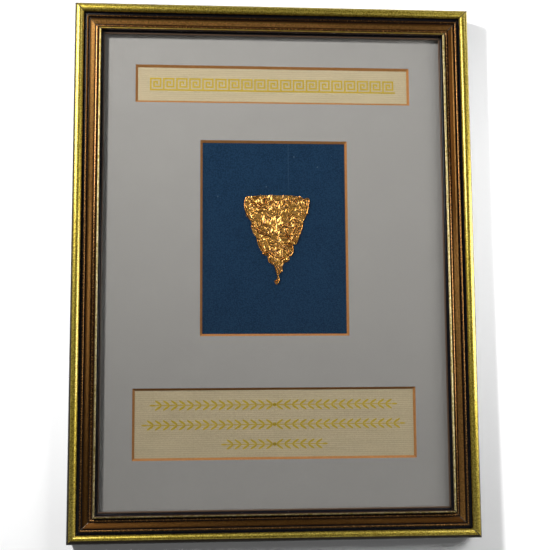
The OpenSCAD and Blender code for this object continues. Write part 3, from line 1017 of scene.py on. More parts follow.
class FRAMEDLEAF_OT_mat(bpy.types.Operator):
    """Cuts the mat board and its three bevelled windows"""
    bl_idname = "framedleaf.mat"
    bl_label = "Mat"

    def execute(self, context):
        size = settings().mat
        top = SHEET_HIGH.z - HAIR
        thickness = SHEET_HIGH.z - SHEET_LOW.z - 2 * HAIR
        piece = flat("shown_mat", (0, 0, top), SHEET_HIGH - SHEET_LOW)
        edit(piece)
        cuts = windows()
        for centre, w, h in cuts.values():
            for side_x, side_y in ((-1, 0), (1, 0), (0, -1), (0, 1)):
                place = (centre.x + side_x * w / 2, centre.y + side_y * h / 2, top)
                bpy.ops.mesh.select_all(action="SELECT")
                bpy.ops.mesh.bisect(plane_co=place, plane_no=(abs(side_x), abs(side_y), 0))
        bpy.ops.mesh.select_all(action="SELECT")
        bpy.ops.mesh.remove_doubles(threshold=1e-6)

        def in_window(face):
            place = face.calc_center_median()
            return any(abs(place.x - centre.x) < w / 2 and abs(place.y - centre.y) < h / 2
                       for centre, w, h in cuts.values())

        select_where(piece, "FACE", in_window)
        bpy.ops.mesh.delete(type="FACE")

        # The bevels: each window's edge goes down and in at 45 degrees
        for centre, w, h in cuts.values():
            reach = 0.2 * MM

            def on_edge(edge):
                place = middle(edge)
                return (edge.is_boundary and abs(place.x - centre.x) < w / 2 + reach
                        and abs(place.y - centre.y) < h / 2 + reach)

            select_where(piece, "EDGE", on_edge)
            draw_out(0, 0, -thickness)
            bpy.ops.transform.resize(value=((w - 2 * thickness) / w, (h - 2 * thickness) / h, 1),
                                     center_override=(centre.x, centre.y, top - thickness))

        border_x = SHEET_HIGH.x - 0.1 * MM
        border_y = SHEET_HIGH.y - 0.1 * MM

        def on_border(edge):
            place = middle(edge)
            return (edge.is_boundary and edge.verts[0].co.z > top - HAIR
                    and (abs(place.x) > border_x or abs(place.y) > border_y))

        select_where(piece, "EDGE", on_border)
        draw_out(0, 0, -thickness)
        select_where(piece, "EDGE", lambda edge: edge.is_boundary)
        bpy.ops.mesh.fill()
        done()
        outward(piece)
        edit(piece)

        def face_edge(edge):
            """True where the face meets a bevel."""
            if len(edge.link_faces) != 2 or min(corner.co.z for corner in edge.verts) < top - HAIR:
                return False
            rises = sorted(face.normal.z for face in edge.link_faces)
            return 0.5 < rises[0] < 0.9

        select_where(piece, "EDGE", face_edge)
        bpy.ops.mesh.bevel(offset=size.face_round, segments=2, affect="EDGES")
        done()
        give(piece, mat_face_finish(), mat_core_finish())
        second_material(piece, lambda face: face.normal.z < 0.80)
        finish_piece(piece, "mat_board", "mat")
        return finish_group(self)


# The cards

def card(node, material, slot, cockle):
    """A card with a slight cockle below its level."""
    low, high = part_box(node)
    centre = (low + high) / 2
    extent = high - low
    cell = 4 * MM
    piece = flat("shown_" + node, (centre.x, centre.y, high.z - HAIR), extent,
                 max(2, round(extent.x / cell)), max(2, round(extent.y / cell)))
    thicken(piece, -(extent.z - 2 * HAIR))
    wave_x = 2 * math.pi / (83 * MM)
    wave_y = 2 * math.pi / (51 * MM)
    for vertex in piece.data.vertices:
        if vertex.co.z > centre.z:
            swell = math.sin(wave_x * vertex.co.x + 1.3) * math.sin(wave_y * vertex.co.y + 0.4)
            vertex.co.z -= cockle * (0.5 + 0.5 * swell)
    give(piece, material)
    smooth(piece, 40)
    finish_piece(piece, slot, node)


class FRAMEDLEAF_OT_cards(bpy.types.Operator):
    """Makes the two label cards and the blue card behind the leaf"""
    bl_idname = "framedleaf.cards"
    bl_label = "Cards"

    def execute(self, context):
        paper = laid_paper_finish()
        card("top_label", paper, "label_card", 0.06 * MM)
        card("bottom_label", paper, "label_card", 0.06 * MM)
        card("blue_card", blue_card_finish(), "blue_card", 0.02 * MM)
        return finish_group(self)


# The ornaments in gold ink on the labels

KEY_CHART = (
    # one repeat of a running key, a letter k for each inked square
    "kkkkkkk.",
    "k.....k.",
    "k.kkk.k.",
    "k.k.k.k.",
    "k.k...k.",
    "k.kkkkk.",
    "k.......",
    "kkkkkkkk",
)
# Length of each garland in mm, from the upper row down
GARLAND_RUNS = (146, 155, 60)


def repeated(piece, count, step, **choices):
    """A row of copies in one piece, a step apart."""
    apply_modifier(piece, "ARRAY", count=count, use_relative_offset=False, use_constant_offset=True,
                   constant_offset_displace=(step, 0, 0), **choices)


def key_band(name, centre, run, cell, level):
    """A running key across a label."""
    columns = len(KEY_CHART[0])
    rows = len(KEY_CHART)
    piece = flat(name, (0, centre.y, level), (columns * cell, rows * cell), columns, rows)
    edit(piece)

    def bare(face):
        place = face.calc_center_median()
        column = int((place.x / cell) + columns / 2)
        row = int(rows / 2 - (place.y - centre.y) / cell)
        return KEY_CHART[row][column] != "k"

    select_where(piece, "FACE", bare)
    bpy.ops.mesh.delete(type="FACE")
    done()
    count = round(run / (columns * cell))
    repeated(piece, count, columns * cell, use_merge_vertices=True, merge_threshold=1e-6)
    shift(piece, centre.x - (count - 1) * columns * cell / 2, 0, 0)
    outward(piece)
    return piece


def printed_leaf(x, y, turn, reach, level):
    """A pointed leaf shape, its stem end at a place."""
    slender = 0.30
    tip_from = reach * 0.40
    tip_draw = reach * 0.07
    nothing_selected()
    bpy.ops.mesh.primitive_circle_add(vertices=12, radius=reach / 2, fill_type="NGON")
    piece = named("printed_leaf")
    edit(piece)
    bpy.ops.transform.resize(value=(1, slender, 1))
    select_where(piece, "VERT", lambda corner: corner.co.x > tip_from)
    bpy.ops.transform.translate(value=(tip_draw, 0, 0))
    done()
    shift(piece, reach / 2, 0, 0)
    piece.rotation_euler = (0, 0, turn)
    piece.location = (x, y, level)
    settle(piece)
    return piece


def join(pieces, name):
    """Joins pieces into one."""
    nothing_selected()
    for piece in pieces:
        piece.select_set(True)
    bpy.context.view_layer.objects.active = pieces[0]
    bpy.ops.object.join()
    return named(name)


def garland(name, centre, run, level):
    """A garland of paired leaves that grow from a bud in the middle towards both ends."""
    size = settings().label
    reach = size.sprig_leaf
    spread = math.radians(33)
    stem_width = 0.5 * MM
    gap = 0.35 * MM
    foot = 1.2 * MM
    bud_radius = 1.1 * MM
    tip_reach = reach * 0.8
    stem = flat("printed_stem", (size.sprig_pitch / 2, 0, level), (size.sprig_pitch, stem_width))
    unit = join([stem, printed_leaf(foot, gap, spread, reach, level),
                 printed_leaf(foot, -gap, -spread, reach, level)], name)
    half = (run - 2 * reach * 0.6) / 2
    count = max(2, round(half / size.sprig_pitch))
    repeated(unit, count, size.sprig_pitch)
    tip = printed_leaf(count * size.sprig_pitch, 0, 0, tip_reach, level)
    unit = join([unit, tip], name)
    other = copy_of(unit, name + "_other")
    other.rotation_euler = (0, 0, math.pi)
    settle(other)
    nothing_selected()
    bpy.ops.mesh.primitive_circle_add(vertices=16, radius=bud_radius, fill_type="NGON",
                                      location=(0, 0, level))
    bud = named("printed_bud")
    settle(bud)
    piece = join([unit, other, bud], name)
    shift(piece, centre.x, centre.y, 0)
    return piece


class FRAMEDLEAF_OT_ornaments(bpy.types.Operator):
    """Prints a running key and three garlands in gold ink on the label cards"""
    bl_idname = "framedleaf.ornaments"
    bl_label = "Label ornaments"

    def execute(self, context):
        size = settings().label
        ink = gold_ink_finish()
        level = CARD_HIGH.z - HAIR
        places = windows()
        key = key_band("top_label_key", places["top_label"][0], size.key_run, size.key_cell, level)
        middle_row = places["bottom_label"][0] - Vector((0.5, 0.6, 0)) * MM
        rows = []
        for k, run in enumerate(GARLAND_RUNS):
            place = middle_row + Vector((0, size.row_pitch * (1 - k), 0))
            rows.append(garland("garland_%d" % k, place, run * MM, level))
        for piece in (key, join(rows, "bottom_label_garlands")):
            thicken(piece, size.ink)
            give(piece, ink)
            finish_piece(piece, "label_card")
        return finish_group(self)


# The leaf

# Folds of the leaf that stand out, in mm: both ends across from the stem's line and down from
# the top edge, then the half-width and the height above the facets' ground
LEAF_FOLDS = (
    # across, down, across, down, half-width, height
    # turned-up left rim
    (-18.8, 0.9, -20.0, 3.5, 0.60, 0.62), (-20.0, 3.9, -20.1, 6.9, 0.60, 0.66),
    (-19.9, 7.3, -18.4, 11.3, 0.62, 0.66), (-18.2, 11.7, -16.2, 15.2, 0.60, 0.60),
    # zigzag at the upper left
    (-15.7, 6.8, -13.8, 5.0, 0.45, 0.62), (-13.8, 5.0, -11.6, 7.6, 0.45, 0.66),
    (-11.6, 7.6, -10.5, 6.6, 0.42, 0.60), (-15.7, 4.1, -14.2, 5.0, 0.45, 0.50),
    (-10.7, 5.2, -9.4, 5.9, 0.42, 0.55),
    # smooth patch below it
    (-11.2, 9.2, -8.5, 8.7, 1.30, 0.60),
    # top edge
    (-7.2, 1.5, -6.8, 4.8, 0.62, 0.66), (-2.6, 0.5, -1.1, 1.5, 0.50, 0.55),
    (-4.3, 5.5, -2.4, 3.7, 0.50, 0.60), (0.9, 3.9, 0.0, 5.7, 0.50, 0.58),
    (3.7, 3.3, 4.2, 5.3, 0.52, 0.62), (5.8, 3.3, 6.0, 4.6, 0.45, 0.55),
    (8.1, 3.5, 8.3, 4.7, 0.62, 0.62), (11.5, 3.4, 12.0, 4.5, 0.70, 0.72),
    (12.7, 1.6, 14.5, 2.4, 0.55, 0.60), (16.0, 2.4, 17.1, 3.2, 0.50, 0.55),
    (-14.7, 2.0, -11.3, 1.3, 0.50, 0.52),
    # flap at the upper right
    (17.3, 2.2, 19.3, 1.9, 0.55, 0.62), (19.5, 2.6, 19.1, 7.7, 0.60, 0.66),
    (18.8, 7.9, 18.0, 11.5, 0.60, 0.62),
    # long ridges down the right side
    (15.6, 18.3, 13.5, 24.3, 0.55, 0.72), (12.5, 18.9, 12.6, 21.8, 0.50, 0.62),
    (11.2, 18.6, 9.8, 22.5, 0.50, 0.64), (6.1, 19.6, 6.7, 17.5, 0.45, 0.62),
    (6.7, 17.5, 7.9, 18.0, 0.45, 0.64), (7.9, 18.0, 8.1, 19.9, 0.45, 0.56),
    (4.6, 24.2, 6.6, 27.1, 0.42, 0.66), (5.7, 23.3, 7.3, 25.9, 0.42, 0.62),
    (8.4, 23.3, 7.9, 27.1, 0.45, 0.56), (10.7, 25.2, 11.9, 24.2, 0.55, 0.60),
    (9.7, 27.5, 12.2, 28.9, 0.65, 0.60), (11.3, 14.3, 12.3, 16.3, 0.90, 0.66),
    (15.1, 11.9, 16.5, 13.2, 0.45, 0.52), (6.5, 12.8, 8.2, 13.6, 0.45, 0.50),
    # left of the middle
    (-12.9, 21.1, -10.6, 19.7, 0.50, 0.62), (-12.0, 21.9, -11.0, 22.3, 0.62, 0.70),
    (-10.0, 18.6, -8.8, 17.5, 0.45, 0.60), (-8.5, 17.5, -6.6, 19.2, 0.48, 0.62),
    (-11.0, 23.0, -6.9, 24.3, 0.50, 0.58), (-14.9, 18.9, -15.4, 19.6, 0.55, 0.60),
    # oval flap at the lower left and the double rim beside it
    (-7.4, 27.4, -5.6, 31.6, 1.60, 0.52), (-12.5, 27.1, -10.8, 31.9, 0.50, 0.60),
    (-10.8, 31.9, -8.5, 35.9, 0.50, 0.62), (-10.7, 28.8, -7.7, 34.8, 0.42, 0.50),
    (-9.0, 36.2, -6.9, 35.6, 0.55, 0.66), (-6.9, 35.6, -4.2, 34.3, 0.50, 0.60),
    # lower tier
    (-0.3, 30.9, 0.6, 31.9, 0.50, 0.56), (1.8, 30.6, 2.7, 31.9, 0.50, 0.56),
    (4.2, 31.5, 5.0, 33.1, 0.50, 0.60), (6.1, 31.2, 9.2, 31.2, 0.60, 0.62),
    (9.4, 31.4, 9.6, 35.0, 0.62, 0.66), (9.5, 35.0, 8.1, 37.0, 0.60, 0.62),
    (6.8, 34.0, 7.2, 35.9, 0.50, 0.56), (-3.6, 33.0, -1.9, 35.5, 0.50, 0.52),
    (0.6, 34.2, -0.3, 36.3, 0.48, 0.50), (1.7, 39.4, 3.8, 38.4, 0.62, 0.62),
    (3.8, 40.9, 6.0, 40.4, 0.50, 0.60), (6.7, 38.3, 7.0, 39.7, 0.50, 0.56),
    (-5.7, 37.8, -4.4, 35.9, 0.50, 0.58), (-4.4, 35.9, -2.7, 36.4, 0.48, 0.56),
    (-5.3, 39.7, -3.1, 41.4, 0.50, 0.54),
    # the stem's two strands and the hook
    (-1.5, 43.0, -0.4, 46.3, 0.62, 0.66), (-0.4, 46.3, 0.2, 48.9, 0.66, 0.72),
    (0.2, 48.9, 1.0, 51.8, 0.66, 0.80), (1.0, 51.8, 0.5, 53.5, 0.62, 0.80),
    (1.3, 43.4, 3.0, 45.5, 0.60, 0.62), (3.0, 45.5, 1.9, 48.0, 0.55, 0.60),
    (-2.0, 52.6, -0.3, 52.0, 0.60, 0.66), (-0.3, 52.0, 1.0, 51.8, 0.50, 0.60),
    (-1.4, 53.8, -0.7, 54.6, 0.55, 0.56), (0.5, 53.5, -0.7, 54.2, 0.55, 0.62),
)
# Deep creases, in the same columns, with a depth in place of a height
LEAF_CREASES = (
    # across, down, across, down, half-width, depth
    (-12.2, 4.8, -9.7, 6.7, 0.34, 0.62), (-9.7, 6.7, -7.9, 5.6, 0.34, 0.55),
    (17.0, 3.2, 18.0, 7.7, 0.34, 0.55), (-8.6, 25.3, -6.5, 24.7, 0.32, 0.60),
    (-6.5, 24.7, -4.1, 25.6, 0.32, 0.60), (3.9, 30.1, 6.8, 29.5, 0.30, 0.55),
    (6.8, 29.5, 8.7, 29.9, 0.34, 0.65), (8.7, 29.9, 10.4, 30.6, 0.34, 0.65),
    (-11.6, 28.6, -8.9, 34.6, 0.26, 0.35), (-15.9, 17.6, -14.6, 18.4, 0.36, 0.50),
    (10.6, 17.0, 9.0, 16.4, 0.34, 0.45), (11.6, 22.6, 10.9, 24.4, 0.30, 0.45),
    (-4.9, 34.9, -2.3, 37.9, 0.34, 0.45), (5.6, 36.6, 7.9, 37.8, 0.34, 0.50),
    (0.6, 45.4, 1.4, 48.2, 0.30, 0.55), (-6.2, 20.6, -5.4, 21.6, 0.34, 0.35),
    (-3.2, 22.8, -2.4, 23.8, 0.36, 0.40), (13.9, 5.4, 15.6, 8.2, 0.30, 0.40),
)
# Tiers: everything below a line is lower by the drop
LEAF_TIERS = (
    # across, down, across, down, drop
    (3.0, 30.2, 11.0, 30.4, 0.22), (-12.0, 36.9, -4.0, 35.3, 0.20),
)
LEAF_SEED = 4


def leaf_outline():
    """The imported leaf's outline seen from above, as points in order."""
    shape = bmesh.new()
    shape.from_mesh(frame["nodes"]["leaf"].data)
    bmesh.ops.remove_doubles(shape, verts=shape.verts, dist=1e-6)
    shape.normal_update()
    level = 0.02
    hidden = [face for face in shape.faces if face.normal.z < level]
    bmesh.ops.delete(shape, geom=hidden, context="FACES")
    rim = {}
    for edge in shape.edges:
        if edge.is_boundary:
            first, second = edge.verts
            rim.setdefault(first.index, []).append(second.index)
            rim.setdefault(second.index, []).append(first.index)
    shape.verts.ensure_lookup_table()
    start = min(rim, key=lambda index: shape.verts[index].co.x)
    loop = [start]
    before = None
    while True:
        ways = [index for index in rim[loop[-1]] if index != before]
        before = loop[-1]
        if not ways or ways[0] == start:
            break
        loop.append(ways[0])
        if len(loop) > len(rim):
            raise RuntimeError("the leaf's outline doesn't close")
    points = np.array([shape.verts[index].co[:2] for index in loop])
    shape.free()
    return points


def inside(points, outline):
    """True for each point inside a closed outline."""
    result = np.zeros(len(points), bool)
    x, y = points[:, 0], points[:, 1]
    ends = np.roll(outline, -1, axis=0)
    for (x1, y1), (x2, y2) in zip(outline, ends):
        if y1 == y2:
            continue
        crosses = (y1 > y) != (y2 > y)
        where = x1 + (y - y1) * (x2 - x1) / (y2 - y1)
        result ^= crosses & (x < where)
    return result


def nearest_on(points, outline):
    """The nearest place on a closed outline for each point."""
    ends = np.roll(outline, -1, axis=0)
    best = np.full(len(points), np.inf)
    found = points.copy()
    for start, end in zip(outline, ends):
        along = end - start
        share = ((points - start) @ along) / max(along @ along, 1e-18)
        place = start + np.clip(share, 0, 1)[:, None] * along
        gap = np.sum((points - place) ** 2, axis=1)
        closer = gap < best
        best[closer] = gap[closer]
        found[closer] = place[closer]
    return found, np.sqrt(best)


def line_gap(across, down, fold):
    """Distance of each place from a fold's line."""
    a1, d1, a2, d2 = fold[:4]
    run_a, run_d = a2 - a1, d2 - d1
    share = ((across - a1) * run_a + (down - d1) * run_d) / max(run_a ** 2 + run_d ** 2, 1e-9)
    share = np.clip(share, 0, 1)
    return np.hypot(across - a1 - share * run_a, down - d1 - share * run_d)


def facets(across, down, pitch, folds, seed):
    """Height of facets folded to and fro, from 0 to 1, their corners strewn at a pitch in mm."""
    draw = np.random.RandomState(seed)
    count = 64
    jitter = draw.uniform(-0.42, 0.42, (count, count, 2))
    level = draw.uniform(0, 1, (count, count))
    column = np.floor(across / pitch).astype(int)
    row = np.floor(down / pitch).astype(int)
    height = np.full_like(across, -1.0)
    for step_row in (-1, 0, 1):
        for step_column in (-1, 0, 1):
            r, c = row + step_row, column + step_column
            corner = []
            for dr, dc in ((0, 0), (0, 1), (1, 1), (1, 0)):
                spot = jitter[(r + dr) % count, (c + dc) % count]
                corner.append(((c + dc + spot[..., 0]) * pitch, (r + dr + spot[..., 1]) * pitch,
                               level[(r + dr) % count, (c + dc) % count]))
            turned = (r * 7 + c * 3) % 2 == 0
            for first, second, third, which in (
                    (0, 1, 2, turned), (0, 2, 3, turned), (0, 1, 3, ~turned), (1, 2, 3, ~turned)):
                (x1, y1, z1), (x2, y2, z2), (x3, y3, z3) = corner[first], corner[second], corner[third]
                area = (x2 - x1) * (y3 - y1) - (x3 - x1) * (y2 - y1)
                part2 = ((across - x1) * (y3 - y1) - (x3 - x1) * (down - y1)) / area
                part3 = ((x2 - x1) * (down - y1) - (across - x1) * (y2 - y1)) / area
                within = which & (part2 >= 0) & (part3 >= 0) & (part2 + part3 <= 1)
                height = np.where(within, z1 + part2 * (z2 - z1) + part3 * (z3 - z1), height)
    return np.abs((height * folds) % 2 - 1)


def leaf_relief(across, down):
    """Height of the crumpled gold above its lowest level, in mm, at places in mm."""
    size = settings().leaf
    crest_gain = 1.4
    crease_gain = 1.3
    sway = across * 0.52 + 0.6 * np.sin(down * 0.31)
    broad = 0.16 + 0.09 * np.sin(sway) * np.cos(down * 0.43 + across * 0.11)
    crest = np.zeros_like(across)
    guided = np.zeros_like(across)
    for fold in LEAF_FOLDS:
        half_width, height = fold[4:]
        gap = line_gap(across, down, fold)
        guided = np.maximum(guided, np.clip(1.6 - gap / (half_width * 1.1), 0, 1))
        rise = np.clip(1 - (gap / half_width) ** 1.1, 0, 1) * height * crest_gain
        crest = np.maximum(crest, rise)

    # Strewn facets fill the ground between the folds, coarse ones and fine ones turned against them
    bent_a = across + 0.22 * np.sin(down * 1.7 + across * 0.4)
    bent_d = down + 0.22 * np.sin(across * 1.9 - down * 0.3)
    pitch = size.fold_pitch / MM
    coarse = facets(bent_a, bent_d, pitch, 3.5, LEAF_SEED)
    turned_a = bent_d * 0.8 + bent_a * 0.6
    turned_d = bent_a * 0.8 - bent_d * 0.6
    fine = facets(turned_a, turned_d, pitch * 0.68, 2.0, LEAF_SEED + 1)
    strewn = (coarse * 0.68 + fine * 0.32) * size.fold_rise / MM
    relief = broad + np.maximum(crest, strewn * (1 - 0.8 * guided))
    for crease in LEAF_CREASES:
        half_width, depth = crease[4:]
        gap = line_gap(across, down, crease)
        relief -= np.clip(1.2 - gap / half_width, 0, 1) * depth * crease_gain
    for a1, d1, a2, d2, drop in LEAF_TIERS:
        line = d1 + (d2 - d1) * (across - a1) / (a2 - a1)
        span = (across > a1) & (across < a2)
        relief -= drop * np.clip((down - line) / 0.2, 0, 1) * np.where(span, 1.0, 0.0)
    grain_across = np.sin(across * 9.1 + 3 * np.sin(down * 5.3))
    grain_down = np.sin(down * 8.3 + 2 * np.sin(across * 4.7))
    return np.maximum(relief + 0.018 * grain_across * grain_down, 0.0)


def smoothed(values, passes):
    """Values on a grid, averaged with their neighbours a few times."""
    for _ in range(passes):
        wide = np.pad(values, 1, mode="edge")
        beside = wide[:-2, 1:-1] + wide[2:, 1:-1] + wide[1:-1, :-2] + wide[1:-1, 2:]
        values = (wide[1:-1, 1:-1] * 4 + beside) / 8
    return values


class FRAMEDLEAF_OT_leaf(bpy.types.Operator):
    """Crumples a sheet of beaten gold inside the leaf's outline"""
    bl_idname = "framedleaf.leaf"
    bl_label = "Leaf"

    def execute(self, context):
        size = settings().leaf
        outline = leaf_outline()
        extent = LEAF_HIGH - LEAF_LOW
        columns = round(extent.x / size.cell)
        rows = round(extent.y / size.cell)
        middle_x = (LEAF_LOW.x + LEAF_HIGH.x) / 2
        middle_y = (LEAF_LOW.y + LEAF_HIGH.y) / 2
        piece = flat("shown_leaf", (middle_x, middle_y, 0), extent, columns, rows)
        mesh = piece.data
        places = np.empty(len(mesh.vertices) * 3)
        mesh.vertices.foreach_get("co", places)
        places = places.reshape(-1, 3)
        stem_x = middle_x + 0.2 * MM
        across = (places[:, 0] - stem_x) / MM
        down = (LEAF_HIGH.y - places[:, 1]) / MM
        grid = smoothed(leaf_relief(across, down).reshape(rows + 1, columns + 1), 1)
        # How far each point lies below its neighbours, which the gold's finish turns into painted shade.
        crease_shade_depth = 0.09
        crease = (smoothed(grid, 14) - grid) / crease_shade_depth
        relief = grid.ravel()
        room = (GLASS_LOW.z - CARD_HIGH.z - 2 * size.clearance - size.thickness) / MM
        relief = np.where(relief > room, 2 * room - relief, relief)
        places[:, 2] = CARD_HIGH.z + size.clearance + size.thickness + relief * MM
        kept = inside(places[:, :2], outline)
        mesh.vertices.foreach_set("co", places.ravel())
        mesh.attributes.new("crease", "FLOAT", "POINT").data.foreach_set("value", crease.ravel())
        edit(piece)
        select_where(piece, "VERT", lambda vertex: not kept[vertex.index])
        bpy.ops.mesh.delete(type="VERT")
        done()
        self.trim_edge(piece, outline)
        apply_modifier(piece, "SOLIDIFY", thickness=size.thickness, offset=-1)
        give(piece, beaten_gold_finish())
        smooth(piece, 38)
        finish_piece(piece, "beaten_gold", "leaf")
        return finish_group(self)

    def trim_edge(self, piece, outline):
        """Moves the points on the sheet's edge out to the leaf's outline."""
        shape = bmesh.new()
        shape.from_mesh(piece.data)
        loose = [vertex for vertex in shape.verts if not vertex.link_faces]
        bmesh.ops.delete(shape, geom=loose, context="VERTS")
        rim = [vertex for vertex in shape.verts if vertex.is_boundary]
        places = np.array([vertex.co[:2] for vertex in rim])
        target, gap = nearest_on(places, outline)
        for vertex, place, far in zip(rim, target, gap):
            if far < 3 * settings().leaf.cell:
                vertex.co.x, vertex.co.y = place
        shape.to_mesh(piece.data)
        shape.free()


# The glass, the back board and the framer's points

class FRAMEDLEAF_OT_glass(bpy.types.Operator):
    """Cuts the glass and breaks its sharp edges"""
    bl_idname = "framedleaf.glass"
    bl_label = "Glass"

    def execute(self, context):
        extent = GLASS_HIGH - GLASS_LOW
        piece = flat("shown_glass", (0, 0, GLASS_LOW.z + HAIR), extent)
        thicken(piece, extent.z - HAIR)
        break_edges(piece, 0.25 * MM)
        give(piece, glass_finish())
        finish_piece(piece, "glass", "glass")
        self.clear_of_glare(piece)
        return finish_group(self)

    def clear_of_glare(self, piece):
        """Keeps the lamps that are there for the metals from mirroring in the glass."""
        spared = bpy.data.collections.new("without_glare")
        spared.objects.link(piece)
        spared.collection_objects[0].light_linking.link_state = "EXCLUDE"
        for name in GLEAM_LAMPS:
            bpy.data.objects[name].light_linking.receiver_collection = spared


class FRAMEDLEAF_OT_back(bpy.types.Operator):
    """Makes the back board and the framer's points that hold it"""
    bl_idname = "framedleaf.back"
    bl_label = "Back"

    def execute(self, context):
        extent = BOARD_HIGH - BOARD_LOW
        board = flat("shown_back_board", (0, 0, BOARD_LOW.z), extent)
        thicken(board, extent.z - HAIR)
        break_edges(board, 0.3 * MM, 2)
        give(board, hardboard_finish())
        smooth(board, 30)
        finish_piece(board, "hardboard", "back_board")
        steel = plated_steel_finish()
        for name in POINTS:
            piece = self.point(name)
            give(piece, steel)
            smooth(piece, 30)
            finish_piece(piece, "steel", name)
        return finish_group(self)

    def point(self, name):
        """A framer's point: a flat plate whose end narrows to the tip that bites the wood."""
        low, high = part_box(name)
        centre = (low + high) / 2
        extent = high - low
        long_x = extent.x > extent.y
        run = max(extent.x, extent.y)
        wide = min(extent.x, extent.y)
        out = centre.x if long_x else centre.y
        bite = 5 * MM
        tip_share = 0.25
        piece = flat("shown_" + name, (-bite / 2, 0, 0), (run - bite, wide))
        edit(piece)
        edge_x = (run - bite) / 2 - bite / 2
        select_where(piece, "EDGE", lambda edge: middle(edge).x > edge_x - HAIR)
        draw_out(bite, 0, 0)
        bpy.ops.transform.resize(value=(1, tip_share, 1), center_override=(0, 0, 0))
        done()
        thicken(piece, extent.z - HAIR)
        break_edges(piece, 0.08 * MM)
        if long_x:
            turn = 0 if out > 0 else math.pi
        else:
            turn = math.pi / 2 if out > 0 else -math.pi / 2
        piece.rotation_euler = (0, 0, turn)
        piece.location = (centre.x, centre.y, low.z)
        settle(piece)
        return piece


# The stage

# Brightness of the room by how far a direction leans down (-1) or up (1) the picture
ROOM_TONES = (
    # lean, brightness
    (-1.0, 0.03), (-0.60, 0.12), (-0.30, 0.34), (-0.18, 0.30), (-0.06, 0.04), (0.30, 0.02),
    (0.55, 0.10), (0.75, 0.22), (0.88, 0.34), (1.0, 0.24),
)
# The soft lights in mm: place, aim, width, height, and the brightness of the face
LAMPS = {
    "key_light": ((-289, 276, 360), (3000, -843, 0), 80, 80, 357),
    "right_fill": ((330, 85, 330), (0, 85, 0), 200, 330, 8.3),
    "left_light": ((-270, 200, 240), (0, 40, 0), 220, 220, 8.5),
    "right_light": ((375, 10, 150), (0, 0, 0), 200, 400, 5.5),
    "high_light": ((370, 430, 400), (-110, 110, 0), 240, 240, 2.4),
}
# Lamps that are there for the gleam of the metals alone
GLEAM_LAMPS = ("left_light", "right_light", "high_light")
# The camera, solved from the corners of the frame: place in metres, turns in degrees
CAMERA_PLACE = (-0.0354, -0.0595, 0.5399)
CAMERA_TURNS = {"Y": -3.850, "X": 5.826, "Z": -0.330}
LENS = 58.16
PHOTO_SIDE = 550
FLOOR_SIDE = 6


def soft_light(name, place, aim, width, height, brightness):
    """An area light, its strength given as the brightness of its face."""
    data = bpy.data.lights.new(name, "AREA")
    data.shape = "RECTANGLE"
    data.size = width * MM
    data.size_y = height * MM
    data.energy = brightness * math.pi * width * height * MM * MM
    light = bpy.data.objects.new(name, data)
    bpy.context.scene.collection.objects.link(light)
    place = Vector(place) * MM
    light.location = place
    light.rotation_euler = (Vector(aim) * MM - place).to_track_quat("-Z", "Y").to_euler()
    return light


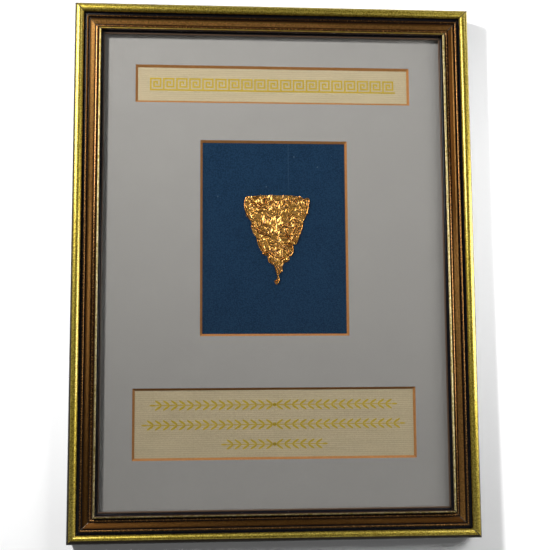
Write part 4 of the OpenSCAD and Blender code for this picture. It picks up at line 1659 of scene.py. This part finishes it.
class FRAMEDLEAF_OT_stage(bpy.types.Operator):
    """Lays the floor, sets the soft lights and the camera"""
    bl_idname = "framedleaf.stage"
    bl_label = "Stage"

    def execute(self, context):
        nothing_selected()
        bpy.ops.mesh.primitive_plane_add(size=FLOOR_SIDE, location=(0, 0, -HAIR))
        floor = named("floor")
        give(floor, floor_finish())
        for name, lamp in LAMPS.items():
            light = soft_light(name, *lamp)
            light.visible_diffuse = name not in GLEAM_LAMPS
            light.visible_glossy = name in GLEAM_LAMPS
        self.surroundings()
        self.camera()
        context.scene.view_settings.view_transform = "Standard"
        return finish_group(self)

    def surroundings(self):
        """A room that is dark overhead and paler low down behind and before the camera."""
        world = bpy.data.worlds.new("surroundings")
        bpy.context.scene.world = world
        world.use_nodes = True
        tree = world.node_tree
        coords = tree.nodes.new("ShaderNodeTexCoord")
        parts = tree.nodes.new("ShaderNodeSeparateXYZ")
        scale = tree.nodes.new("ShaderNodeMapRange")
        scale.inputs["From Min"].default_value = -1
        ramp = tree.nodes.new("ShaderNodeValToRGB")
        ramp.color_ramp.interpolation = "EASE"
        stops = ramp.color_ramp.elements
        for k, (lean, grey) in enumerate(ROOM_TONES):
            place = (lean + 1) / 2
            stop = stops[k] if k < 2 else stops.new(place)
            stop.position = place
            stop.color = rgba(grey)
        tree.links.new(coords.outputs["Generated"], parts.inputs[0])
        tree.links.new(parts.outputs["Y"], scale.inputs["Value"])
        tree.links.new(scale.outputs[0], ramp.inputs[0])
        tree.links.new(ramp.outputs[0], tree.nodes["Background"].inputs["Color"])

    def camera(self):
        """The camera that looks down on the frame."""
        data = bpy.data.cameras.new("camera")
        camera = bpy.data.objects.new("camera", data)
        bpy.context.scene.collection.objects.link(camera)
        data.sensor_width = 36
        data.lens = LENS
        data.shift_x = -0.5 / PHOTO_SIDE
        data.shift_y = 0.5 / PHOTO_SIDE
        data.clip_start = 10 * MM
        turn = Matrix.Identity(4)
        for axis, degrees in CAMERA_TURNS.items():
            turn = turn @ Matrix.Rotation(math.radians(degrees), 4, axis)
        camera.matrix_world = Matrix.Translation(CAMERA_PLACE) @ turn
        bpy.context.scene.camera = camera


class FRAMEDLEAF_PT_panel(bpy.types.Panel):
    """The sizes and colours, and a button for each piece or group"""
    bl_idname = "FRAMEDLEAF_PT_panel"
    bl_label = "Framed leaf"
    bl_space_type = "VIEW_3D"
    bl_region_type = "UI"
    bl_category = "Framed leaf"

    def draw(self, context):
        groups = context.scene.framed_leaf
        for name in ("moulding", "mat", "leaf", "label", "colours"):
            box = self.layout.box()
            box.label(text=name.capitalize())
            group = getattr(groups, name)
            for key in group.__annotations__:
                box.prop(group, key)
        for operator in OPERATORS:
            self.layout.operator(operator.bl_idname)


GROUPS = (MouldingSizes, MatSizes, LeafSizes, LabelSizes, FinishColours, FramedLeaf)
OPERATORS = (FRAMEDLEAF_OT_stage, FRAMEDLEAF_OT_rails, FRAMEDLEAF_OT_mat, FRAMEDLEAF_OT_cards,
             FRAMEDLEAF_OT_ornaments, FRAMEDLEAF_OT_leaf, FRAMEDLEAF_OT_glass, FRAMEDLEAF_OT_back)
CLASSES = (*GROUPS, *OPERATORS, FRAMEDLEAF_PT_panel)


def register():
    for item in CLASSES:
        bpy.utils.register_class(item)
    bpy.types.Scene.framed_leaf = bpy.props.PointerProperty(type=FramedLeaf)


def unregister():
    del bpy.types.Scene.framed_leaf
    for item in reversed(CLASSES):
        bpy.utils.unregister_class(item)


def main():
    register()
    bpy.ops.framedleaf.stage()
    bpy.ops.framedleaf.rails()
    bpy.ops.framedleaf.mat()
    bpy.ops.framedleaf.cards()
    bpy.ops.framedleaf.ornaments()
    bpy.ops.framedleaf.leaf()
    bpy.ops.framedleaf.glass()
    bpy.ops.framedleaf.back()


if __name__ == "__main__":
    main()
